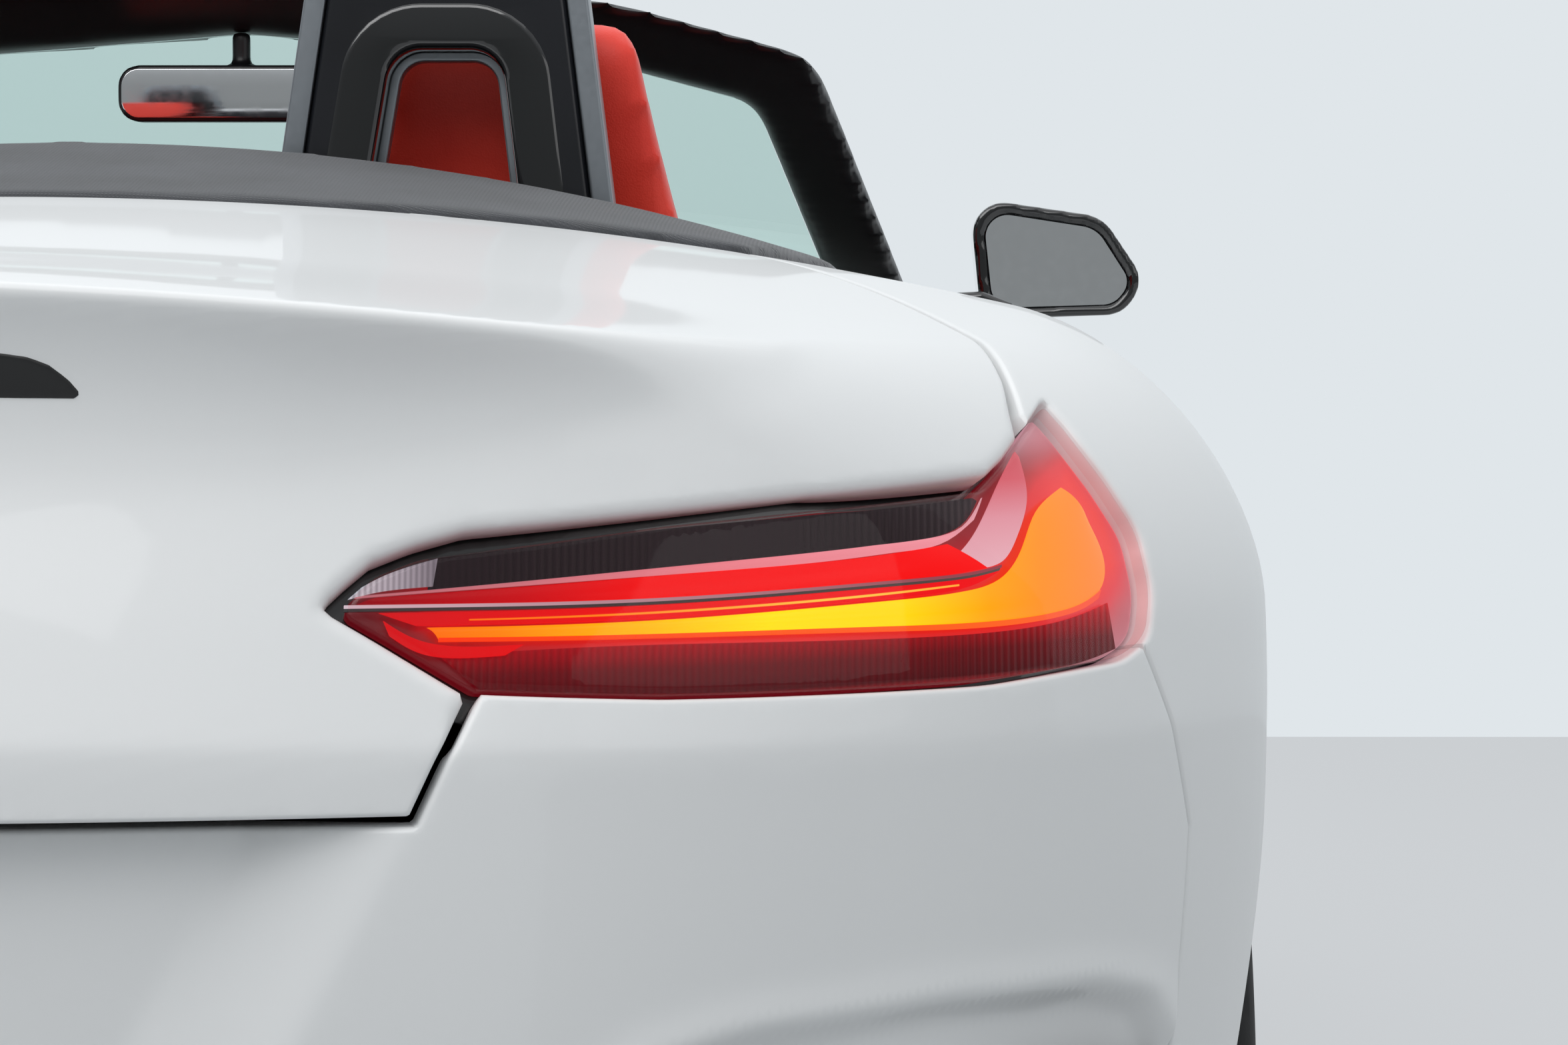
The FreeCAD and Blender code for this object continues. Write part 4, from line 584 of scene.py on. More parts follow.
def unique_edges(triangles):
    return np.unique(np.sort(edge_pairs(triangles), axis=1), axis=0)


def divide(triangles, cut, base):
    """Splits triangles at new points on the edges in cut, which count up from base."""
    size = base + 1
    keys = cut[:, 0] * size + cut[:, 1]

    def middle(a, b):
        key = np.minimum(a, b) * size + np.maximum(a, b)
        where = np.clip(np.searchsorted(keys, key), 0, len(keys) - 1)
        return np.where(keys[where] == key, base + where, -1)

    mids = [middle(triangles[:, i], triangles[:, (i + 1) % 3]) for i in range(3)]
    crossed = sum((m >= 0).astype(int) for m in mids)
    out = [triangles[crossed == 0]]
    for turn in range(3):
        a, b, c = (triangles[:, (turn + k) % 3] for k in range(3))
        ab, bc, ca = (mids[(turn + k) % 3] for k in range(3))
        two = (crossed == 2) & (bc < 0)
        p, q = ab[two], ca[two]
        out += [stack(a[two], p, q), stack(p, b[two], c[two]), stack(p, c[two], q)]
        one = (crossed == 1) & (bc >= 0)
        out += [stack(a[one], b[one], bc[one]), stack(a[one], bc[one], c[one])]
    whole = crossed == 3
    a, b, c = triangles[whole].T
    p, q, r = (m[whole] for m in mids)
    out += [stack(a, p, r), stack(p, b, q), stack(r, q, c), stack(p, q, r)]
    return np.concatenate(out)


def refine(points, triangles, near, longest):
    """Halves the long edges of the triangles that near picks, with the new points on the body."""
    for _ in range(3):
        picked = triangles[near(points)[triangles].any(1)]
        edges = unique_edges(picked)
        edges = edges[np.linalg.norm(points[edges[:, 0]] - points[edges[:, 1]], axis=1) > longest]
        if len(edges) == 0:
            break
        middle = on_body((points[edges[:, 0]] + points[edges[:, 1]]) / 2)
        triangles = divide(triangles, edges, len(points))
        points = np.concatenate([points, middle])
    return points, triangles


def settled(points, field, level):
    """Points moved along the body's surface to where field has the level."""
    rim = np.abs(points[:, 0]) < 1e-7
    for _ in range(3):
        g = unit(gradient(points))
        t = gradient(points, field)
        t -= (t * g).sum(1, keepdims=True) * g
        miss = (field(*points.T) - level)[:, None]
        move = miss * t / np.maximum((t * t).sum(1, keepdims=True), 0.05)
        points = on_body(points - np.clip(move, -0.001, 0.001))
        points[rim, 0] = 0.0
    return points


def between(points, a, b, share):
    return points[a] + (points[b] - points[a]) * share[:, None]


def split(points, triangles, value, held, level, field):
    """Cuts every triangle along value = level, keeping both sides; held points stay where they are."""
    points, value, held = points.copy(), value.copy(), held.copy()
    s = value - level
    edges = unique_edges(triangles)
    moved = [np.zeros(0, int)]
    for near, far in ((0, 1), (1, 0)):
        a, b = edges[:, near], edges[:, far]
        crossing = (s[a] * s[b] < 0) & ~held[a]
        a, b = a[crossing], b[crossing]
        f = s[a] / (s[a] - s[b])
        pick = f < SNAP_SHARE
        a, b, f = a[pick], b[pick], f[pick]
        points[a] = between(points, a, b, f)
        s[a] = 0.0
        moved.append(a)
    cut = edges[s[edges[:, 0]] * s[edges[:, 1]] < 0]
    f = s[cut[:, 0]] / (s[cut[:, 0]] - s[cut[:, 1]])
    base = len(points)
    points = np.concatenate([points, between(points, cut[:, 0], cut[:, 1], f)])
    value = np.concatenate([value, np.full(len(cut), level)])
    held = np.concatenate([held, np.ones(len(cut), bool)])
    if len(cut):
        triangles = divide(triangles, cut, base)
    placed = np.unique(np.concatenate(moved + [np.arange(base, len(points))]))
    value[placed] = level
    held[placed] = True
    if len(placed):
        points[placed] = settled(points[placed], field, level)
    return points, triangles, value, held


def compact(points, triangles, *others):
    used, back = np.unique(triangles, return_inverse=True)
    return (points[used], back.reshape(-1, 3)) + tuple(o[used] for o in others)


SNAP_SHARE = 0.22         # a point nearer to a cut than this share of its edge moves onto the cut
EDGE_CUTS = (0.0, 0.12, 0.35, 0.65, 1.0)  # shares of a rolled edge's width at which the mesh is cut
WAYS = {"both": [(1, -1)], "right": [(1,)], "left": [(-1,)], "pair": [(1,), (-1,)]}


def skin(name, cut, look, nodes=(), body_name="body_shell", sides="both", edge=0.003, widen=None, hem=0.016,
         wall=None, inset=0.0, carve=None, fine=None, step=0.009):
    """A piece of the body's surface inside cut, with rolled edges and a hem or an inner wall."""
    def field(x, y, z):
        found = cut(x, y, z)
        return found if widen is None else np.where(found < 0, found / widen(x, y, z), found)

    value = field(*BODY_POINTS.T)
    points, triangles = compact(BODY_POINTS, BODY_TRIANGLES[(value[BODY_TRIANGLES] < 0.004).any(1)])
    points, triangles = refine(points, triangles, lambda p: np.abs(field(*p.T)) < 0.0055, step)
    if fine is not None:
        points, triangles = refine(points, triangles, fine, 0.009)
    value = field(*points.T)
    held = np.zeros(len(points), bool)
    for share in EDGE_CUTS:
        points, triangles, value, held = split(points, triangles, value, held, -share * edge, field)
        if share == 0.0:
            triangles = triangles[(value[triangles] <= 1e-9).all(1)]
            points, triangles, value, held = compact(points, triangles, value, held)
    normal = unit(gradient(points))
    near = np.clip(1 + value / edge, 0, 1)
    deep = edge if widen is None else edge * (1 + 0.5 * (widen(*points.T) - 1))
    drop = deep * (1 - np.sqrt(np.maximum(1 - near ** 2, 0)))
    rim = np.abs(points[:, 0]) < 1e-6
    points = points - normal * (drop + inset)[:, None]
    if carve is not None:
        points = carve(points, normal)
    points[rim, 0] = 0.0
    made = []
    for ways in WAYS[sides]:
        parts = [(points * (way, 1, 1), normal * (way, 1, 1), triangles if way > 0 else triangles[:, ::-1])
                 for way in ways]
        all_points = np.concatenate([p for p, _, _ in parts])
        all_normals = np.concatenate([n for _, n, _ in parts])
        faces = np.concatenate([f + i * len(points) for i, (_, _, f) in enumerate(parts)])
        _, first, back = np.unique(np.round(all_points, 6), axis=0, return_index=True, return_inverse=True)
        all_points, all_normals, faces = all_points[first], all_normals[first], back.reshape(-1)[faces]
        faces = faces[(faces != np.roll(faces, 1, axis=1)).all(1)]
        if wall is not None:
            all_points, faces = add_hem(all_points, all_normals, faces, wall, closed=True)
        elif hem:
            all_points, faces = add_hem(all_points, all_normals, faces, hem)
        suffix = dict(SIDES)[ways[0]] if sides == "pair" else ""
        piece = mesh_object(name + suffix, all_points, faces)
        finish_piece(piece, look, body_name, nodes)
        made.append(piece)
    return made


def add_hem(points, normals, faces, depth, closed=False):
    """Turns the open edges inwards by a depth; closed adds the inner side too."""
    edges = edge_pairs(faces)
    _, first, count = np.unique(np.sort(edges, axis=1), axis=0, return_index=True, return_counts=True)
    border = edges[first[count == 1]]
    if closed:
        used, back = np.arange(len(points)), border + len(points)
    else:
        used, back = np.unique(border, return_inverse=True)
        back = back.reshape(-1, 2) + len(points)
    deep = points[used] - normals[used] * depth
    a, b = border[:, 0], border[:, 1]
    out = [faces, stack(b, a, back[:, 0]), stack(b, back[:, 0], back[:, 1])]
    if closed:
        out.append(faces[:, ::-1] + len(points))
    return np.concatenate([points, deep]), np.concatenate(out)


def placed(name, data):
    """A new object in the scene."""
    made = bpy.data.objects.new(name, data)
    bpy.context.collection.objects.link(made)
    return made


def mesh_object(name, points, faces):
    mesh = bpy.data.meshes.new(name)
    mesh.from_pydata(np.asarray(points).tolist(), [], np.asarray(faces).tolist())
    mesh.update()
    return placed(name, mesh)


def only(made):
    bpy.ops.object.select_all(action="DESELECT")
    made.select_set(True)
    bpy.context.view_layer.objects.active = made


def cleaned(made, merge=True):
    """Joins points that coincide and turns every face outwards."""
    only(made)
    bpy.ops.object.mode_set(mode="EDIT")
    bpy.ops.mesh.select_all(action="SELECT")
    if merge:
        bpy.ops.mesh.remove_doubles(threshold=0.00002)
    bpy.ops.mesh.normals_make_consistent(inside=False)
    bpy.ops.object.mode_set(mode="OBJECT")


def apply_modifiers(made):
    only(made)
    for modifier in list(made.modifiers):
        bpy.ops.object.modifier_apply(modifier=modifier.name)


def finish_piece(made, look, body_name, nodes=(), smooth_angle=40):
    """Settles a piece: its material, shading, the body it rides on and the nodes it stands for."""
    finish, slot = LOOKS[look]
    made.data.materials.clear()
    made.data.materials.append(finish)
    only(made)
    bpy.ops.object.shade_smooth_by_angle(angle=math.radians(smooth_angle))
    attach(made, body_name)
    if nodes:
        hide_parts(*nodes)


def dress(look, *nodes):
    """Gives CAD nodes a material."""
    for node in nodes:
        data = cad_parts[node].data
        data.materials.clear()
        data.materials.append(LOOKS[look][0])


def mesh_points(made, what="co"):
    """The points of a mesh, or their normals, as rows."""
    flat = np.empty(len(made.data.vertices) * 3)
    made.data.vertices.foreach_get(what, flat)
    return flat.reshape(-1, 3)


def set_points(made, points):
    made.data.vertices.foreach_set("co", np.ascontiguousarray(points).reshape(-1))
    made.data.update()


def softened(node, look, voxel, rounds, body_name="body_shell", name=None, shape=None, finish=True):
    """A copy of a CAD node remade in small even faces with its edges rounded off."""
    made = placed(name or node + "_form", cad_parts[node].data.copy())
    cleaned(made)
    remesh = made.modifiers.new("even_faces", "REMESH")
    remesh.mode = "VOXEL"
    remesh.voxel_size = voxel
    soften = made.modifiers.new("soften", "SMOOTH")
    soften.factor = 0.5
    soften.iterations = rounds
    apply_modifiers(made)
    if shape is not None:
        set_points(made, shape(mesh_points(made), mesh_points(made, "normal")))
    if finish:
        finish_piece(made, look, body_name, [node], 60)
    return made


# Materials

def abs_along(tree, axis, low, high):
    """How far along an axis a point lies from low to high, the same on both sides of the car."""
    parts = patterned(tree, "ShaderNodeSeparateXYZ")
    size = add_node(tree, "ShaderNodeMath", [(0, parts, axis)], operation="ABSOLUTE")
    return add_node(tree, "ShaderNodeMapRange", [("Value", size, "Value")], From_Min=low, From_Max=high)


def ramp(tree, source, output, stops):
    """A colour ramp of (place, hex colour) stops."""
    node = add_node(tree, "ShaderNodeValToRGB", [("Fac", source, output)])
    elements = node.color_ramp.elements
    for i, (place, colour) in enumerate(stops):
        one = elements[i] if i < 2 else elements.new(place)
        one.position = place
        one.color = linear(colour)
    return node


def varied(tree, shader, scale, dark, pale):
    """Colour that drifts between two close tones."""
    cloud = patterned(tree, "ShaderNodeTexNoise", Scale=scale, Detail=3.0)
    tones = ramp(tree, cloud, "Fac", [(0.3, dark), (0.7, pale)])
    tree.links.new(tones.outputs["Color"], shader.inputs["Base Color"])


def lacquered_paint():
    """Gloss white two-layer car paint: an even white under clear lacquer with faint orange peel."""
    made, tree, shader = material("white_lacquered_paint", "#E4E5E5", Roughness=0.45, Coat_Weight=0.3,
                                  Coat_Roughness=0.04, Coat_IOR=1.5)
    peel = patterned(tree, "ShaderNodeTexNoise", Scale=220.0, Detail=1.0)
    bump(tree, shader, peel, "Fac", 0.00002, 0.2)
    return made


def moulded(name, dark, pale, roughness, grain, depth):
    """Moulded plastic with a fine leather-like grain that breaks up its shine."""
    made, tree, shader = material(name, dark, Roughness=roughness)
    varied(tree, shader, 6.0, dark, pale)
    pits = patterned(tree, "ShaderNodeTexNoise", Scale=grain, Detail=4.0)
    bump(tree, shader, pits, "Fac", depth, 0.6)
    return made


def piano_black(name="piano_black_plastic", colour="#08090B", rough=0.08):
    """Polished black plastic under lacquer: deep black with sharp reflections."""
    made, tree, shader = material(name, colour, Roughness=rough, Coat_Weight=1.0, Coat_Roughness=0.02)
    waves = patterned(tree, "ShaderNodeTexNoise", Scale=90.0, Detail=1.0)
    bump(tree, shader, waves, "Fac", 0.00002, 0.15)
    return made


def leather(name, dark, pale, roughness=0.5):
    """Grained leather: soft colour drift, pebbled grain about 1.5 mm and a mild sheen."""
    made, tree, shader = material(name, dark, Roughness=roughness, Sheen_Weight=0.12)
    varied(tree, shader, 9.0, dark, pale)
    pebbles = patterned(tree, "ShaderNodeTexVoronoi", Scale=650.0)
    bump(tree, shader, pebbles, "Distance", 0.0004, 0.35)
    return made


def woven_cloth(name, dark, pale):
    """Top cloth: tight weave, drawn at 3 mm so that it shows, with a dull sheen."""
    made, tree, shader = material(name, dark, Roughness=0.85, Sheen_Weight=0.3)
    varied(tree, shader, 14.0, dark, pale)
    warp, weft = (patterned(tree, "ShaderNodeTexWave", Scale=105.0, bands_direction=way) for way in "XY")
    both = add_node(tree, "ShaderNodeMath", [(0, warp, "Fac"), (1, weft, "Fac")], operation="MULTIPLY")
    bump(tree, shader, both, "Value", 0.0006, 0.5)
    return made


def metal(name, colour, roughness, grain=240.0, depth=0.00005):
    """Bare or satin-painted metal with fine surface grain."""
    made, tree, shader = material(name, colour, Metallic=1.0, Roughness=roughness)
    marks = patterned(tree, "ShaderNodeTexNoise", Scale=grain, Detail=3.0)
    rough = add_node(tree, "ShaderNodeMapRange", [("Value", marks, "Fac")], To_Min=roughness - 0.06,
                     To_Max=roughness + 0.08)
    tree.links.new(rough.outputs["Result"], shader.inputs["Roughness"])
    bump(tree, shader, marks, "Fac", depth, 0.4)
    return made


def see_through(name, tint, strength=1.0, rough=0.0):
    """Clear or tinted glass: shows what is behind, with reflections that grow where it turns away."""
    made = bpy.data.materials.new(name)
    made.use_nodes = True
    tree = made.node_tree
    tree.nodes.remove(tree.nodes["Principled BSDF"])
    clear = add_node(tree, "ShaderNodeBsdfTransparent", Color=linear(tint))
    shine = add_node(tree, "ShaderNodeBsdfGlossy", Roughness=rough)
    edge_on = add_node(tree, "ShaderNodeLayerWeight")
    rise = add_node(tree, "ShaderNodeMath", [(0, edge_on, "Facing")], operation="POWER")
    rise.inputs[1].default_value = 5.0
    share = add_node(tree, "ShaderNodeMapRange", [("Value", rise, "Value")], To_Min=0.04 * strength,
                     To_Max=strength)
    mixed = add_node(tree, "ShaderNodeMixShader",
                     [(0, share, "Result"), (1, clear, "BSDF"), (2, shine, "BSDF")])
    tree.links.new(mixed.outputs["Shader"], tree.nodes["Material Output"].inputs["Surface"])
    return made


def glowing(name, stops, axis="X", low=0.34, high=0.82, strength=1.0, base="#300004", ribs=None):
    """Lit lamp plastic, or a painted reflection, that glows in tones changing along an axis; ribs are axis,
    pitch and darkest share.
    """
    made, tree, shader = material(name, base, Roughness=0.25, Specular_IOR_Level=0.12)
    tones = ramp(tree, abs_along(tree, axis, low, high), "Result", stops)
    glow = tones.outputs["Color"]
    if ribs is not None:
        way, pitch, darkest = ribs
        wave = patterned(tree, "ShaderNodeTexWave", Scale=0.314 / pitch, bands_direction=way)
        dim = add_node(tree, "ShaderNodeMapRange", [("Value", wave, "Fac")], To_Min=darkest, To_Max=1.0)
        mixed = add_node(tree, "ShaderNodeVectorMath", [(0, tones, "Color")], operation="SCALE")
        tree.links.new(dim.outputs["Result"], mixed.inputs["Scale"])
        glow = mixed.outputs["Vector"]
        bump(tree, shader, wave, "Fac", 0.0004, 0.5)
    tree.links.new(glow, shader.inputs["Emission Color"])
    shader.inputs["Emission Strength"].default_value = strength
    return made


def lamp_bowl_red():
    """Deep red lamp housing with the light guide's light painted into its emission: dark where unlit, bright
    red beside the light guide, rose at its outer edge.
    """
    made, tree, shader = material("red_lamp_housing", "#2A0004", Roughness=0.3)
    glow = add_node(tree, "ShaderNodeAttribute", attribute_name="glow")
    rose = add_node(tree, "ShaderNodeAttribute", attribute_name="rose")
    red = ramp(tree, glow, "Fac", [(0.0, "#5A0410"), (0.3, "#A40612"), (0.6, "#EC0C14"), (1.0, "#FF1A14")])
    pink = ramp(tree, glow, "Fac", [(0.0, "#BA8A96"), (0.35, "#D27C88"), (0.75, "#F04C58"), (1.0, "#FF4638")])
    mixed = add_node(tree, "ShaderNodeMix", data_type="RGBA")
    for socket, source, output in ((0, rose, "Fac"), (6, red, "Color"), (7, pink, "Color")):
        tree.links.new(source.outputs[output], mixed.inputs[socket])
    tree.links.new(mixed.outputs[2], shader.inputs["Emission Color"])
    shader.inputs["Emission Strength"].default_value = 0.8
    return made


# Each look's material and slot
LOOKS = {
    # Sprayed and lacquered steel: even white with soft reflections
    "paint": (lacquered_paint(), "white_paint"),
    # Plastic moulded in a polished tool and lacquered: deep black
    "piano": (piano_black(), "black_gloss"),
    # Smoked acrylic, unlit: nearly black and a little dull
    "stop": (moulded("smoked_stop_lamp", "#050607", "#090A0C", 0.45, 120.0, 0.00002), "smoked_lens"),
    # Powder-coated frame: black with a broad soft shine
    "satin_black": (moulded("satin_black_frame", "#101114", "#17181B", 0.36, 500.0, 0.00005), "black_gloss"),
    # Injection-moulded polypropylene with an etched grain: dull dark grey
    "grained": (moulded("grained_black_plastic", "#17181A", "#202124", 0.6, 700.0, 0.0003), "black_plastic"),
    # Foam-backed soft skin: dull black with fine grain
    "soft_black": (moulded("soft_touch_black", "#1A1B1D", "#232427", 0.7, 900.0, 0.0004), "black_soft"),
    # Cast trim under satin paint: grey with a metal shine
    "trim_grey": (metal("satin_grey_hoop_trim", "#8F9499", 0.38), "black_gloss"),
    # Moulded in a smooth tool: charcoal with a tight shine
    "charcoal": (moulded("charcoal_satin_plastic", "#121317", "#1A1B20", 0.22, 400.0, 0.00005),
                 "black_gloss"),
    "cover": (woven_cloth("charcoal_top_cloth", "#2C2E32", "#3A3C41"), "grey_cloth"),
    # Dyed hides: warm bright red on the seats, black on the wheel
    "red_leather": (leather("red_seat_leather", "#F03422", "#FF4430"), "red_leather"),
    "black_leather": (leather("black_wheel_leather", "#141415", "#1D1D1F", 0.42), "black_leather"),
    # Laminated float glass with a green cast, and clear polycarbonate
    "glass": (see_through("green_tinted_screen_glass", "#EBF7F4"), "tinted_glass"),
    "clear": (see_through("clear_headlamp_cover", "#F6F8FA"), "clear_lens"),
    "lens": (see_through("clear_red_lamp_cover", "#FFEFEF", 0.4, 0.03), "red_lens"),
    # Silvered glass: a clean reflection
    "mirror": (metal("silvered_mirror", "#F4F6F8", 0.07, 90.0, 0.0), "mirror_face"),
    # Sprayed rubber-like coating: dark, rough and without shine
    "under": (moulded("dark_underbody_coating", "#1D1E20", "#2A2B2E", 0.75, 160.0, 0.0008), "underbody"),
    # Cast, ground and lacquered metals: rough grey, brushed grey and bright silver
    "cast": (metal("cast_alloy", "#77797C", 0.55, 320.0, 0.0003), "cast_metal"),
    "steel": (metal("brushed_steel", "#B4B6B9", 0.32, 500.0, 0.0001), "steel"),
    "rim": (metal("lacquered_alloy_rim", "#A9ACB0", 0.28, 200.0), "rim_metal"),
    # Vulcanised rubber: dull black that never shines
    "rubber": (moulded("tyre_rubber", "#151516", "#1E1E1F", 0.85, 300.0, 0.0004), "tyre_rubber"),
    "bowl": (lamp_bowl_red(), "red_lens"),
    "tray": (piano_black("black_lamp_tray", "#050506", 0.4), "red_lens"),
    # Lit acrylic of the tail lamps, from the inner end to the outer, or from low to high; the pink facet at
    # the end is a painted reflection, not lit acrylic
    "smoke": (glowing("smoked_grid_lens", [
        (0.0, "#3A343A"), (0.14, "#2B2026"), (0.6, "#2B2228"), (1.0, "#33282E")],
        base="#0A0708", strength=0.5, ribs=("X", 0.0042, 0.72)), "smoked_lens"),
    "ribbed_clear": (glowing("clear_ribbed_lens", [(0.0, "#E2E2EA"), (0.08, "#B9B8C2"), (0.15, "#4A474E")],
                             base="#404048", strength=0.8, ribs=("X", 0.003, 0.6)), "clear_lens"),
    "ledge": (glowing("pale_pink_ledge", [
        (0.0, "#9A6A74"), (0.2, "#B07880"), (0.45, "#E08A94"), (0.7, "#E6A0AC"), (0.8, "#C8B0BA")],
        base="#803038", strength=0.85), "red_lens"),
    "red": (glowing("lit_red_guide", [
        (0.0, "#6E0010"), (0.10, "#A0000E"), (0.22, "#C4000A"), (0.36, "#F00000"),
        (1.0, "#FF0000")]), "red_lens"),
    "white_line": (glowing("pale_guide_edge", [
        (0.0, "#D0BEC8"), (0.3, "#B0909A"), (0.7, "#904C58"), (1.0, "#7A2430")]), "red_lens"),
    "red_low": (glowing("lit_red_ledge", [(0.0, "#C81018"), (0.3, "#E80000"), (1.0, "#F20010")]), "red_lens"),
    "yellow_line": (glowing("lit_yellow_edge", [
        (0.0, "#FF5A10"), (0.3, "#FF8A10"), (0.6, "#FFD24A"), (1.0, "#FF7A20")]), "red_lens"),
    "amber": (glowing("lit_amber_guide", [
        (0.10, "#F06A08"), (0.20, "#F78A00"), (0.36, "#FFC400"), (0.50, "#FFF000"), (0.66, "#FFE800"),
        (0.77, "#FFB000"), (0.84, "#F59A22"), (0.95, "#F08A3C")], base="#803000"), "red_lens"),
    "orange_line": (glowing("lit_orange_edge", [
        (0.0, "#FF2A08"), (0.5, "#FF5A00"), (0.8, "#FF6A20"), (1.0, "#F05050")]), "red_lens"),
    "low_lens": (glowing("dark_red_ribbed_lens", [
        (0.0, "#8E0A14"), (0.10, "#3E0006"), (0.45, "#5E0008"), (0.8, "#A40010"), (1.0, "#DC0A14")],
        axis="Z", low=0.708, high=0.748, ribs=("X", 0.0042, 0.75)), "red_lens"),
    # Painted reflection: pale pink emission where the lens facets mirror the bright surroundings
    "facet": (glowing("painted_pink_facet_reflection", [
        (0.0, "#EFC2CE"), (0.35, "#E6A4B2"), (0.65, "#D8606E"), (1.0, "#C03A48")],
        axis="Z", low=0.775, high=0.85, strength=0.9), "red_lens"),
}


# Skins of the body panels

skin("bonnet_skin", bonnet_at, "paint", ["bonnet"], "bonnet", wall=0.018)
skin("boot_lid_skin", lid_at, "paint", ["boot_lid"], "boot_lid", wall=0.014, widen=lid_roll, step=0.0085)
skin("high_stop_lens", high_stop_at, "stop", ["high_stop_lamp"], "boot_lid", inset=-0.0012, hem=0.004,
     step=0.005)
skin("cowl_skin", cowl_at, "paint", ["cowl_panel"])


def bumper_detail(p):
    x, z = np.abs(p[:, 0]), p[:, 2]
    return (z > 0.27) & (z < 0.66) & (p[:, 1] < TAIL_FRONT_Y) & ((x < 0.42) | (x > 0.46))


skin("rear_bumper_skin", rear_bumper_at, "paint", ["rear_bumper"], edge=0.0035, carve=bumper_relief,
     fine=bumper_detail)
skin("front_bumper_skin", front_bumper_at, "paint", ["front_bumper"])
skin("corner_vent", vent_at, "piano", sides="pair", inset=0.009, hem=0.006, step=0.005)
for side in ("right", "left"):
    door = "door_" + side
    skin("front_wing_skin_" + side, wing_at, "paint", ["front_wing_" + side], sides=side, hem=0.050)
    skin("quarter_skin_" + side, quarter_at, "paint", ["quarter_" + side], sides=side, hem=0.060)
    skin("door_skin_" + side, door_at, "paint", [door], door, side, hem=0.020)
    skin("door_card_" + side, door_at, "soft_black", (), door, side, inset=0.018, wall=0.070, step=0.03)


# Tail lamps: a clear cover over light guides at several depths in a red bowl

def tail_surface(x, z):
    """The tail's y at points seen from behind."""
    low, high = np.full(x.shape, -2.30), np.full(x.shape, -1.45)
    for _ in range(36):
        mid = (low + high) / 2
        outside = body(x, mid, z) > 0
        low = np.where(outside, mid, low)
        high = np.where(outside, high, mid)
    return high


def smooth_line(points, count):
    """Evenly spaced points on a smooth line through the given ones."""
    p = np.array(points, float)
    step = np.maximum(np.hypot(*np.diff(p, axis=0).T), 1e-6)
    run = running(step ** 0.5)
    want = np.linspace(0, run[-1], 400)
    fine = np.stack([spline(run, values)(want) for values in p.T], -1)
    length = running(np.hypot(*np.diff(fine, axis=0).T))
    return resampled(np.linspace(0, length[-1], count), length, fine)


BAND_THICK = 0.0015


def band(name, low, high, look, depth, bulge=0.0, across=5, count=72):
    """A strip between two lines on the lamp's face, at a depth under it, on both lamps."""
    low_line, high_line = smooth_line(low, count), smooth_line(high, count)
    share = np.linspace(0, 1, across)
    grid = low_line[:, None] + (high_line - low_line)[:, None] * share[None, :, None]
    x, z = grid[..., 0].ravel(), grid[..., 1].ravel()
    points = np.stack([x, tail_surface(x, z), z], -1)
    normals = unit(gradient(points))
    under = depth[0] + (depth[1] - depth[0]) * share - bulge * 4 * share * (1 - share)
    points -= normals * np.tile(under, count)[:, None]
    faces = grid_triangles(count, across)
    a, b, c = (points[faces[len(faces) // 4, k]] for k in range(3))
    if np.dot(np.cross(b - a, c - a), normals[faces[len(faces) // 4, 0]]) < 0:
        faces = faces[:, ::-1]
    for way, side in SIDES:
        turned = faces if way > 0 else faces[:, ::-1]
        closed = add_hem(points * (way, 1, 1), normals * (way, 1, 1), turned, BAND_THICK, True)
        finish_piece(mesh_object(name + side, *closed), look, "body_shell", (), 50)


def below(line, drop):
    return [(x, z - drop) for x, z in line]


LEDGE_TOP = [
    (0.360, 0.7715), (0.396, 0.774), (0.525, 0.7835), (0.614, 0.789), (0.670, 0.7935), (0.700, 0.801),
    (0.712, 0.817)]
LEDGE_LOW = [
    (0.3585, 0.7695), (0.396, 0.772), (0.525, 0.779), (0.614, 0.783), (0.664, 0.787), (0.686, 0.791),
    (0.704, 0.803)]
EDGE_LINE = [
    (0.353, 0.765), (0.396, 0.765), (0.525, 0.7656), (0.644, 0.7692), (0.700, 0.7716), (0.720, 0.775)]
AMBER_TOP = [
    (0.398, 0.754), (0.525, 0.755), (0.643, 0.759), (0.704, 0.7625), (0.7255, 0.770), (0.7375, 0.786),
    (0.7475, 0.8075), (0.764, 0.8205)]
AMBER_LOW = [
    (0.404, 0.748), (0.525, 0.747), (0.640, 0.745), (0.720, 0.743), (0.772, 0.7478), (0.7885, 0.757),
    (0.7915, 0.774), (0.781, 0.800)]

skin("lamp_tray", lamp_tray_at, "tray", sides="pair", inset=0.024, hem=0.0, step=0.02)
skin("lamp_cover", lens_at, "lens", ["tail_lamps"], sides="pair", edge=0.004, hem=0.006, step=0.006)
bowls = skin("lamp_bowl", lens_at, "bowl", sides="pair", edge=0.002, inset=0.013, hem=0.008, step=0.006)
GUIDE_SHAPE = [tuple(p) for p in (*smooth_line(AMBER_TOP, 40), *smooth_line(AMBER_LOW, 40)[::-1])]
for bowl in bowls:
    spots = np.abs(mesh_points(bowl))
    away = outline_distance(spots[:, 0], spots[:, 2], GUIDE_SHAPE)
    rim = -outline_distance(spots[:, 0], spots[:, 2], LENS)
    # Painted light: the guide's light on the housing, falling off with distance from the guide, dimmer
    # towards the inner end and near the rim
    glow = np.exp(-np.maximum(away, 0) / 0.020) * (0.55 + 0.45 * smooth(0.40, 0.60, spots[:, 0]))
    glow *= 0.3 + 0.7 * smooth(0.0, 0.010, rim)
    rose = smooth(0.735, 0.80, spots[:, 0]) * (1 - 0.4 * smooth(0.0, 0.03, rim))
    rose = np.maximum(rose, smooth(0.825, 0.850, spots[:, 2]))
    for key, values in (("glow", glow), ("rose", rose)):
        attribute = bowl.data.attributes.new(key, "FLOAT", "POINT")
        attribute.data.foreach_set("value", values.astype(np.float32))
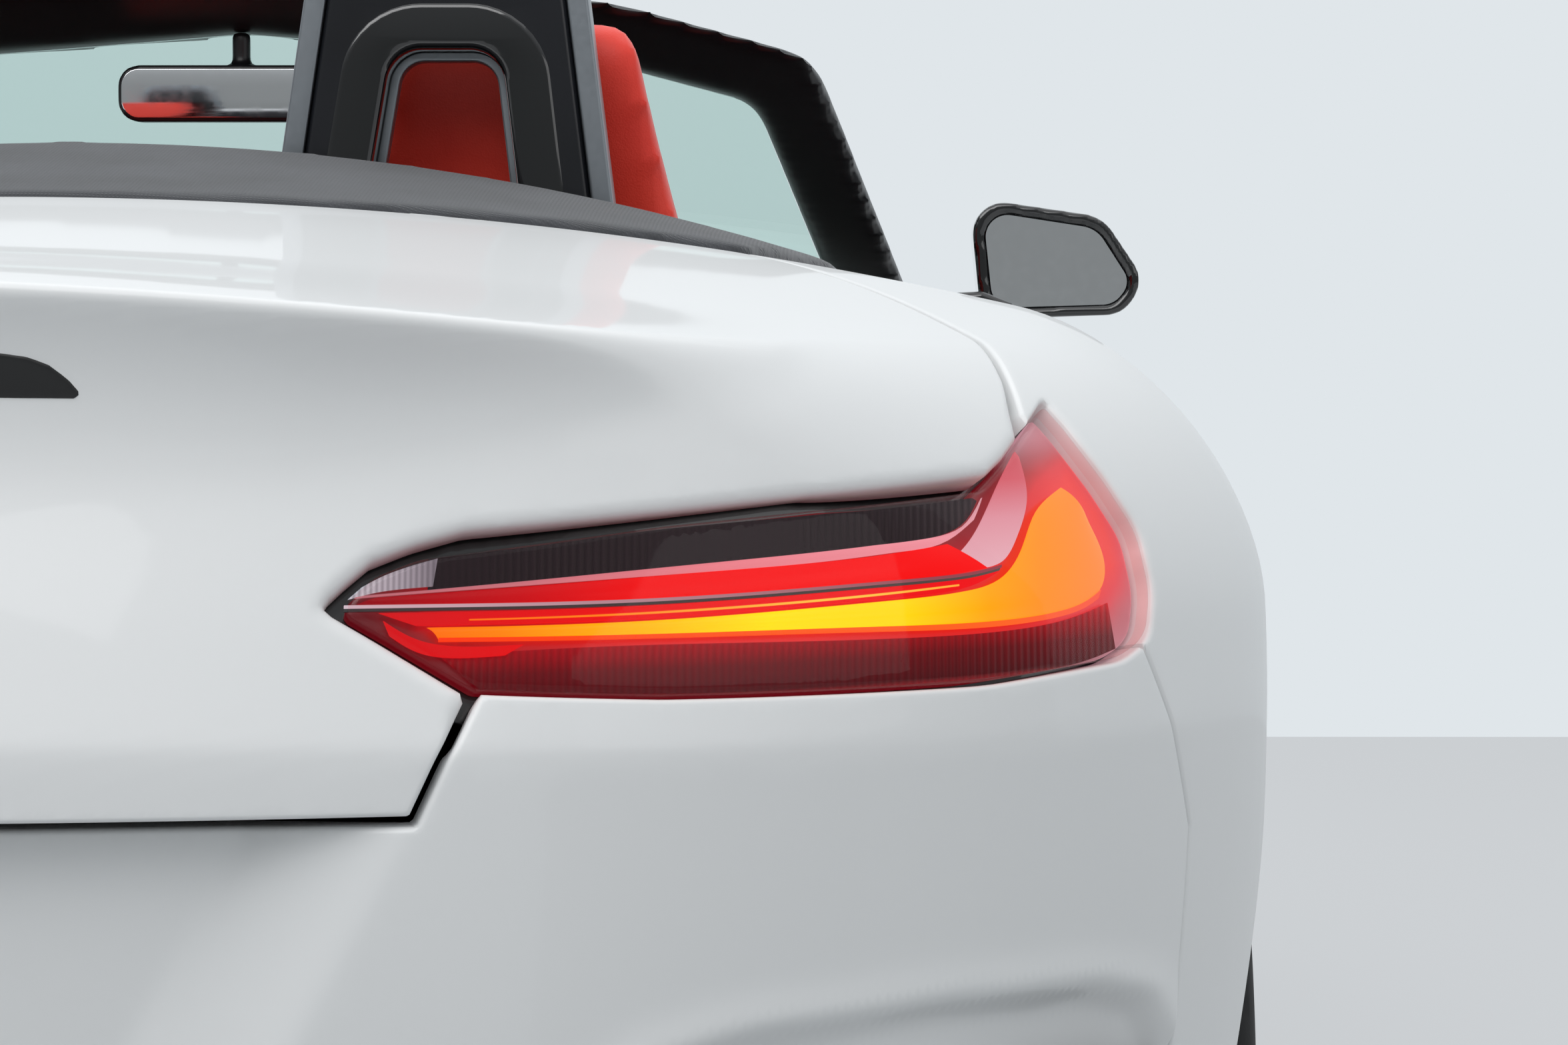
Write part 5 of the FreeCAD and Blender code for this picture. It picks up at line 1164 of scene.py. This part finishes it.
band("smoked_strip",
     [(0.398, 0.7745), (0.525, 0.7835), (0.614, 0.789), (0.670, 0.7935), (0.700, 0.802), (0.710, 0.816)],
     [(0.398, 0.7905), (0.470, 0.7985), (0.525, 0.8045), (0.614, 0.810), (0.670, 0.814), (0.7055, 0.817)],
     "smoke", (0.009, 0.007), across=9)
band("clear_patch", [(0.355, 0.769), (0.372, 0.773), (0.400, 0.7755)],
     [(0.362, 0.775), (0.376, 0.782), (0.402, 0.790)], "ribbed_clear", (0.004, 0.003), count=40)
band("pink_ledge", LEDGE_LOW, LEDGE_TOP, "ledge", (0.004, 0.007), 0.0005)
band("red_guide",
     [(0.360, 0.7662), (0.396, 0.7662), (0.525, 0.7668), (0.644, 0.7704), (0.690, 0.7722), (0.712, 0.7745)],
     [(0.370, 0.770), (0.396, 0.7715), (0.525, 0.7788), (0.614, 0.7828), (0.660, 0.7864), (0.688, 0.790)],
     "red", (0.004, 0.005), 0.001)
band("pale_edge", below(EDGE_LINE, 0.001), below(EDGE_LINE, -0.0006), "white_line", (0.003, 0.003), across=3)
band("dark_edge", below(EDGE_LINE, 0.0024), below(EDGE_LINE, 0.001), "tray", (0.005, 0.004), across=3)
band("red_ledge", [(0.392, 0.755), (0.525, 0.7562), (0.643, 0.7602), (0.700, 0.764), (0.720, 0.772)],
     [(0.372, 0.762), (0.525, 0.763), (0.644, 0.7668), (0.700, 0.7696), (0.723, 0.776)],
     "red_low", (0.006, 0.006))
band("yellow_edge", [(0.420, 0.7572), (0.525, 0.7584), (0.643, 0.7622), (0.695, 0.765)],
     [(0.420, 0.7578), (0.525, 0.7594), (0.643, 0.7634), (0.695, 0.766)],
     "yellow_line", (0.005, 0.005), across=3)
band("amber_guide", AMBER_LOW, AMBER_TOP, "amber", (0.007, 0.007), 0.003, across=11, count=110)
band("orange_edge",
     [(0.404, 0.7462), (0.525, 0.745), (0.640, 0.7425), (0.720, 0.740), (0.772, 0.7445), (0.786, 0.751)],
     [(0.404, 0.7482), (0.525, 0.7472), (0.640, 0.7452), (0.720, 0.7432), (0.772, 0.748), (0.788, 0.756)],
     "orange_line", (0.006, 0.006), across=3)
band("guide_start", [(0.378, 0.750), (0.398, 0.7395), (0.440, 0.7385)],
     [(0.3745, 0.758), (0.398, 0.746), (0.450, 0.744)], "red_low", (0.007, 0.007), count=30)
band("lower_lens", [(0.427, 0.721), (0.525, 0.7155), (0.709, 0.711), (0.775, 0.7135), (0.800, 0.719)],
     [(0.405, 0.7395), (0.525, 0.742), (0.709, 0.737), (0.772, 0.741), (0.796, 0.748)],
     "low_lens", (0.009, 0.010), across=9)
# Painted reflection: the pale pink that the lens facets mirror, drawn as a glowing strip
band("painted_facet_reflection",
     [(0.684, 0.7775), (0.705, 0.7755), (0.7225, 0.778), (0.733, 0.793), (0.740, 0.815), (0.736, 0.840)],
     [(0.690, 0.780), (0.699, 0.788), (0.707, 0.7985), (0.715, 0.813), (0.7225, 0.827), (0.732, 0.842)],
     "facet", (0.006, 0.004), count=60)


# Roll hoops, cut from plates with rolled edges

def plate(name, outlines, y0, y1, roll, look, nodes=(), body_name="body_shell"):
    """A plate across the car from closed (x, z) outlines, the first its outside, with rolled edges."""
    curve = bpy.data.curves.new(name, "CURVE")
    curve.dimensions = "2D"
    curve.fill_mode = "BOTH"
    for outline in outlines:
        spline_made = curve.splines.new("POLY")
        spline_made.points.add(len(outline) - 1)
        for point, (u, v) in zip(spline_made.points, outline):
            point.co = (u, v, 0.0, 1.0)
        spline_made.use_cyclic_u = True
    curve.extrude = (y1 - y0) / 2 - roll
    curve.bevel_depth = roll
    curve.bevel_resolution = 3
    curve.offset = -roll
    only(placed(name, curve))
    bpy.ops.object.convert(target="MESH")
    made = bpy.context.object
    made.data.transform(Matrix.Translation((0, (y0 + y1) / 2, 0)) @ Matrix.Rotation(math.pi / 2, 4, "X"))
    cleaned(made)
    finish_piece(made, look, body_name, nodes, 35)


HOOP = [(0.150, 0.967, 0.0), (0.192, 1.246, 0.055), (0.414, 1.246, 0.055), (0.448, 0.967, 0.0)]
HOOP_HOLE = [(0.232, 1.010, 0.020), (0.256, 1.150, 0.030), (0.348, 1.150, 0.030), (0.364, 1.010, 0.020)]
# Name, outer and inner outline with their insets, rear and front y, roll of the edges, look, nodes
HOOP_PLATES = (
    ("hoop_trim", (HOOP, 0.0), (HOOP, 0.018), -0.831, -0.769, 0.003, "trim_grey", ["roll_hoops"]),
    ("hoop_core", (HOOP, 0.0175), (HOOP_HOLE, -0.012), -0.829, -0.773, 0.008, "charcoal", ()),
    ("hoop_surround", (HOOP_HOLE, -0.040), (HOOP_HOLE, 0.0), -0.8305, -0.776, 0.006, "piano", ()),
    ("hoop_liner", (HOOP_HOLE, -0.001), (HOOP_HOLE, 0.008), -0.790, -0.769, 0.002, "trim_grey", ()),
)
for way, side in SIDES:
    for name, outer, inner, y0, y1, roll, look, nodes in HOOP_PLATES:
        outlines = [[(way * u, v) for u, v in rounded(shrunk(*edge), 10)] for edge in (outer, inner)]
        plate(name + side, outlines, y0, y1, roll, look, nodes)

MIRROR_ARM = rounded([
    (0.712, 0.928, 0.006), (0.726, 0.958, 0.012), (0.800, 0.962, 0.012), (0.836, 0.948, 0.008),
    (0.836, 0.926, 0.006)])
for way, side in SIDES:
    softened("mirror" + side, "piano", 0.004, 5, "door" + side)
    arm = [(way * x, z) for x, z in MIRROR_ARM]
    plate("mirror_arm" + side, [arm], 0.372, 0.418, 0.006, "piano", (), "door" + side)
    dress("mirror", "mirror_glass" + side)
softened("windscreen_frame", "satin_black", 0.009, 12)
softened("interior_mirror", "satin_black", 0.004, 3)
INNER_MIRROR = rounded([
    (-0.126, 1.144, 0.018), (-0.126, 1.196, 0.018), (0.126, 1.196, 0.018), (0.126, 1.144, 0.018)])
plate("interior_mirror_face", [INNER_MIRROR], 0.1488, 0.152, 0.001, "mirror")
softened("dashboard", "soft_black", 0.014, 3)
softened("centre_console", "soft_black", 0.010, 3)
softened("steering_wheel", "black_leather", 0.005, 4, "steering_wheel")
cover = softened("tonneau_cover", "cover", 0.010, 5)


# Seats

SEAT_X = 0.352
CHANNEL_PITCH, CUSHION_PITCH = 0.062, 0.070


def seat_shape(points, normals):
    """Bolsters at the sides and sewn channels across the middle of cushion and backrest."""
    x, y, z = points.T
    side = np.abs(np.abs(x) - SEAT_X)
    panel = smooth(0.165, 0.135, side)
    forward = smooth(0.2, 0.7, normals[:, 1]) * smooth(0.46, 0.52, z)
    upward = smooth(0.5, 0.9, normals[:, 2]) * smooth(0.50, 0.44, np.abs(z)) * smooth(0.02, -0.02, y)
    channels = np.cos(z * 2 * math.pi / CHANNEL_PITCH)
    rows = np.cos(y * 2 * math.pi / CUSHION_PITCH)
    back = forward * (-0.020 * panel + 0.004 * channels * panel * smooth(0.95, 0.88, z)
                      + 0.010 * smooth(0.12, 0.19, side))
    base = upward * (-0.016 * panel + 0.0035 * rows * panel + 0.006 * smooth(0.14, 0.19, side))
    return points + normals * (back + base)[:, None]


def swollen(made, cap):
    """Blows the pad up a little as cloth, with no point moved further than cap."""
    before = mesh_points(made)
    only(made)
    cloth = made.modifiers.new("padding", "CLOTH")
    cloth.settings.use_pressure = True
    cloth.settings.uniform_pressure_force = 4.0
    cloth.settings.effector_weights.gravity = 0.0
    for step in range(1, 21):
        bpy.context.scene.frame_set(step)
    bpy.ops.object.modifier_apply(modifier=cloth.name)
    move = mesh_points(made) - before
    length = np.linalg.norm(move, axis=1, keepdims=True)
    set_points(made, before + move * np.minimum(1.0, cap / np.maximum(length, 1e-9)))
    bpy.context.scene.frame_set(1)


right_seat = softened("seat_right", "red_leather", 0.012, 4, name="seat_padding_right", shape=seat_shape,
                      finish=False)
swollen(right_seat, 0.006)
left_seat = mesh_object("seat_padding_left", mesh_points(right_seat) * (-1, 1, 1),
                        [tuple(reversed(face.vertices)) for face in right_seat.data.polygons])
for seat, node in ((right_seat, "seat_right"), (left_seat, "seat_left")):
    finish_piece(seat, "red_leather", "body_shell", [node], 60)


# Wheels

TREAD_R, SHOULDER_DROP = 0.3328, 0.0012
GROOVE_DEEP, BLOCK_DEEP = 0.0065, 0.0045
TURNS = 160


def tyre(name, side, axle_y, wheel_x, width):
    """A tyre turned about its axle, with four grooves and blocks cut into its shoulders."""
    h = width / 2
    groove = []
    for middle in (-0.078, -0.030, 0.030, 0.078):
        for at, deep in ((-0.0062, 0.0), (-0.005, GROOVE_DEEP), (0.005, GROOVE_DEEP), (0.0062, 0.0)):
            groove.append((middle + at, TREAD_R - SHOULDER_DROP * (middle / 0.09) ** 2 - deep))
    wall = [(-h + 0.009, 0.2448), (-h + 0.002, 0.256), (-h + 0.0005, 0.275), (-h + 0.0015, 0.295),
            (-h + 0.007, 0.313), (-h + 0.016, 0.324), (-h + 0.028, 0.3295), (-h + 0.037, 0.3312)]
    line = np.array(wall + groove + [(-u, r) for u, r in reversed(wall)])
    count = len(line)
    angle = np.arange(TURNS) * 2 * math.pi / TURNS
    shoulder = (np.abs(line[:, 0]) > 0.088) & (line[:, 1] > 0.322)
    cut = np.where(np.arange(TURNS) % 5 == 0, BLOCK_DEEP, 0.0)
    r = line[None, :, 1] - cut[:, None] * shoulder[None, :]
    x = side * (wheel_x + line[None, :, 0]) + 0 * r
    points = np.stack([x, axle_y + r * np.cos(angle)[:, None], AXLE_Z + r * np.sin(angle)[:, None]], -1)
    index = np.arange(TURNS * count).reshape(TURNS, count)
    ahead = np.roll(index, -1, axis=0)
    faces = np.stack([index[:, :-1], index[:, 1:], ahead[:, 1:], ahead[:, :-1]], -1).reshape(-1, 4)
    lip = np.stack([index[:, -1], index[:, 0], ahead[:, 0], ahead[:, -1]], -1)
    made = mesh_object("tyre_tread_" + name, points.reshape(-1, 3), np.concatenate([faces, lip]))
    cleaned(made, merge=False)
    finish_piece(made, "rubber", "wheel_" + name, ["tyre_" + name], 30)


# End of the car, its axle, middle of the tyre from the middle of the car, width
WHEELS = (("front", FRONT_AXLE_Y, 0.768, 0.245), ("rear", REAR_AXLE_Y, 0.780, 0.270))
for end, axle_y, wheel_x, width in WHEELS:
    for way, side in SIDES:
        tyre(end + side, way, axle_y, wheel_x, width)
        dress("rim", "rim_" + end + side)
        dress("steel", "brake_disc_" + end + side)


# Headlamps and what keeps its CAD shape

skin("headlamp_cover", headlamp_at, "clear", ["headlamps"], sides="pair", hem=0.006)
skin("headlamp_bowl", headlamp_at, "piano", sides="pair", inset=0.020, hem=0.010)
dress("glass", "windscreen_glass")
dress("grained", "rear_diffuser", "air_grilles")
dress("under", "floor_pan", "firewall", "rear_bulkhead", "boot_floor", "front_rails")
dress("cast", "front_subframe", "rear_subframe", "engine_block", "knuckle_right", "knuckle_left", "radiator")
dress("steel", "exhaust")


# Studio: pale floor and wall, soft lamps, camera

def backdrop(name, colour, lit, glow):
    """A pale surface that gives off part of its own light and can't be seen from behind."""
    made, tree, shader = material(name, lit, Roughness=0.7)
    flat = add_node(tree, "ShaderNodeEmission", Color=linear(colour), Strength=1.0)
    rays = add_node(tree, "ShaderNodeLightPath")
    share = add_node(tree, "ShaderNodeMapRange", [("Value", rays, "Is Diffuse Ray")], To_Min=glow[0],
                     To_Max=glow[1])
    mixed = add_node(tree, "ShaderNodeMixShader",
                     [(0, share, "Result"), (1, shader, "BSDF"), (2, flat, "Emission")])
    side = add_node(tree, "ShaderNodeNewGeometry")
    clear = add_node(tree, "ShaderNodeBsdfTransparent")
    faced = add_node(tree, "ShaderNodeMixShader",
                     [(0, side, "Backfacing"), (1, mixed, "Shader"), (2, clear, "BSDF")])
    tree.links.new(faced.outputs["Shader"], tree.nodes["Material Output"].inputs["Surface"])
    return made


# Name, place, turn about x, colour seen, colour lit by the lamps, own light to the eye and to the car
SURFACES = (
    ("studio_floor", (0, 0, 0), 0.0, "#E2E5E8", "#A6A9AB", (0.62, 0.0)),
    ("studio_wall", (0, 5.3, 10.0), math.pi / 2, "#E0E6EA", "#E0E6EA", (1.0, 1.0)),
)
# Name, place, size, watts, point aimed at
LAMPS = (
    ("ceiling", (0, -1.0, 5.0), (7.0, 9.0), 95.0, (0, -1.0, 0)),
    ("rear_overhead", (-1.5, -5.0, 5.0), (7.0, 3.0), 178.0, (0.3, -1.9, 0.8)),
    ("right_strip", (5.5, -4.0, 2.6), (5.0, 1.6), 22.0, (0.4, -1.5, 0.7)),
)
# What the car mirrors, from straight down to straight up
AIR = [(0.0, "#808488"), (0.48, "#9A9E9F"), (0.60, "#AEB2B4"), (0.74, "#E8ECF0"), (1.0, "#F2F6FA")]
AIR_STRENGTH = 0.66


def studio():
    for name, place, turn, colour, lit, glow in SURFACES:
        bpy.ops.mesh.primitive_plane_add(size=40.0, location=place, rotation=(turn, 0, 0))
        made = bpy.context.object
        made.name = name
        made.data.materials.append(backdrop(name + "_paint", colour, lit, glow))
    world = bpy.data.worlds.new("studio_air")
    world.use_nodes = True
    tree = world.node_tree
    place = add_node(tree, "ShaderNodeTexCoord")
    parts = add_node(tree, "ShaderNodeSeparateXYZ", [("Vector", place, "Generated")])
    up = add_node(tree, "ShaderNodeMapRange", [("Value", parts, "Z")], From_Min=-1.0, From_Max=1.0)
    air = ramp(tree, up, "Result", AIR)
    tree.links.new(air.outputs["Color"], tree.nodes["Background"].inputs["Color"])
    tree.nodes["Background"].inputs["Strength"].default_value = AIR_STRENGTH
    bpy.context.scene.world = world
    for name, place, size, power, aim in LAMPS:
        lamp = bpy.data.lights.new(name, "AREA")
        lamp.shape = "RECTANGLE"
        lamp.size, lamp.size_y = size
        lamp.energy = power
        holder = placed(name, lamp)
        holder.location = place
        holder.rotation_euler = (Vector(aim) - Vector(place)).to_track_quat("-Z", "Y").to_euler()


# Camera fitted to the photograph
CAMERA_PLACE = (0.60, -4.38, 0.908)
CAMERA_YAW, CAMERA_PITCH = math.radians(0.26), math.radians(2.47)
CAMERA_LENS, CAMERA_SENSOR = 97.44, 36.0


def camera():
    """The photograph's view: a long lens behind the right rear corner."""
    data = bpy.data.cameras.new("camera")
    data.sensor_width = CAMERA_SENSOR
    data.lens = CAMERA_LENS
    holder = placed("camera", data)
    level = math.cos(CAMERA_PITCH)
    ahead = Vector((-math.sin(CAMERA_YAW) * level, math.cos(CAMERA_YAW) * level, -math.sin(CAMERA_PITCH)))
    holder.location = CAMERA_PLACE
    holder.rotation_euler = ahead.to_track_quat("-Z", "Y").to_euler()
    bpy.context.scene.camera = holder


studio()
camera()
bpy.context.scene.view_settings.view_transform = "Standard"
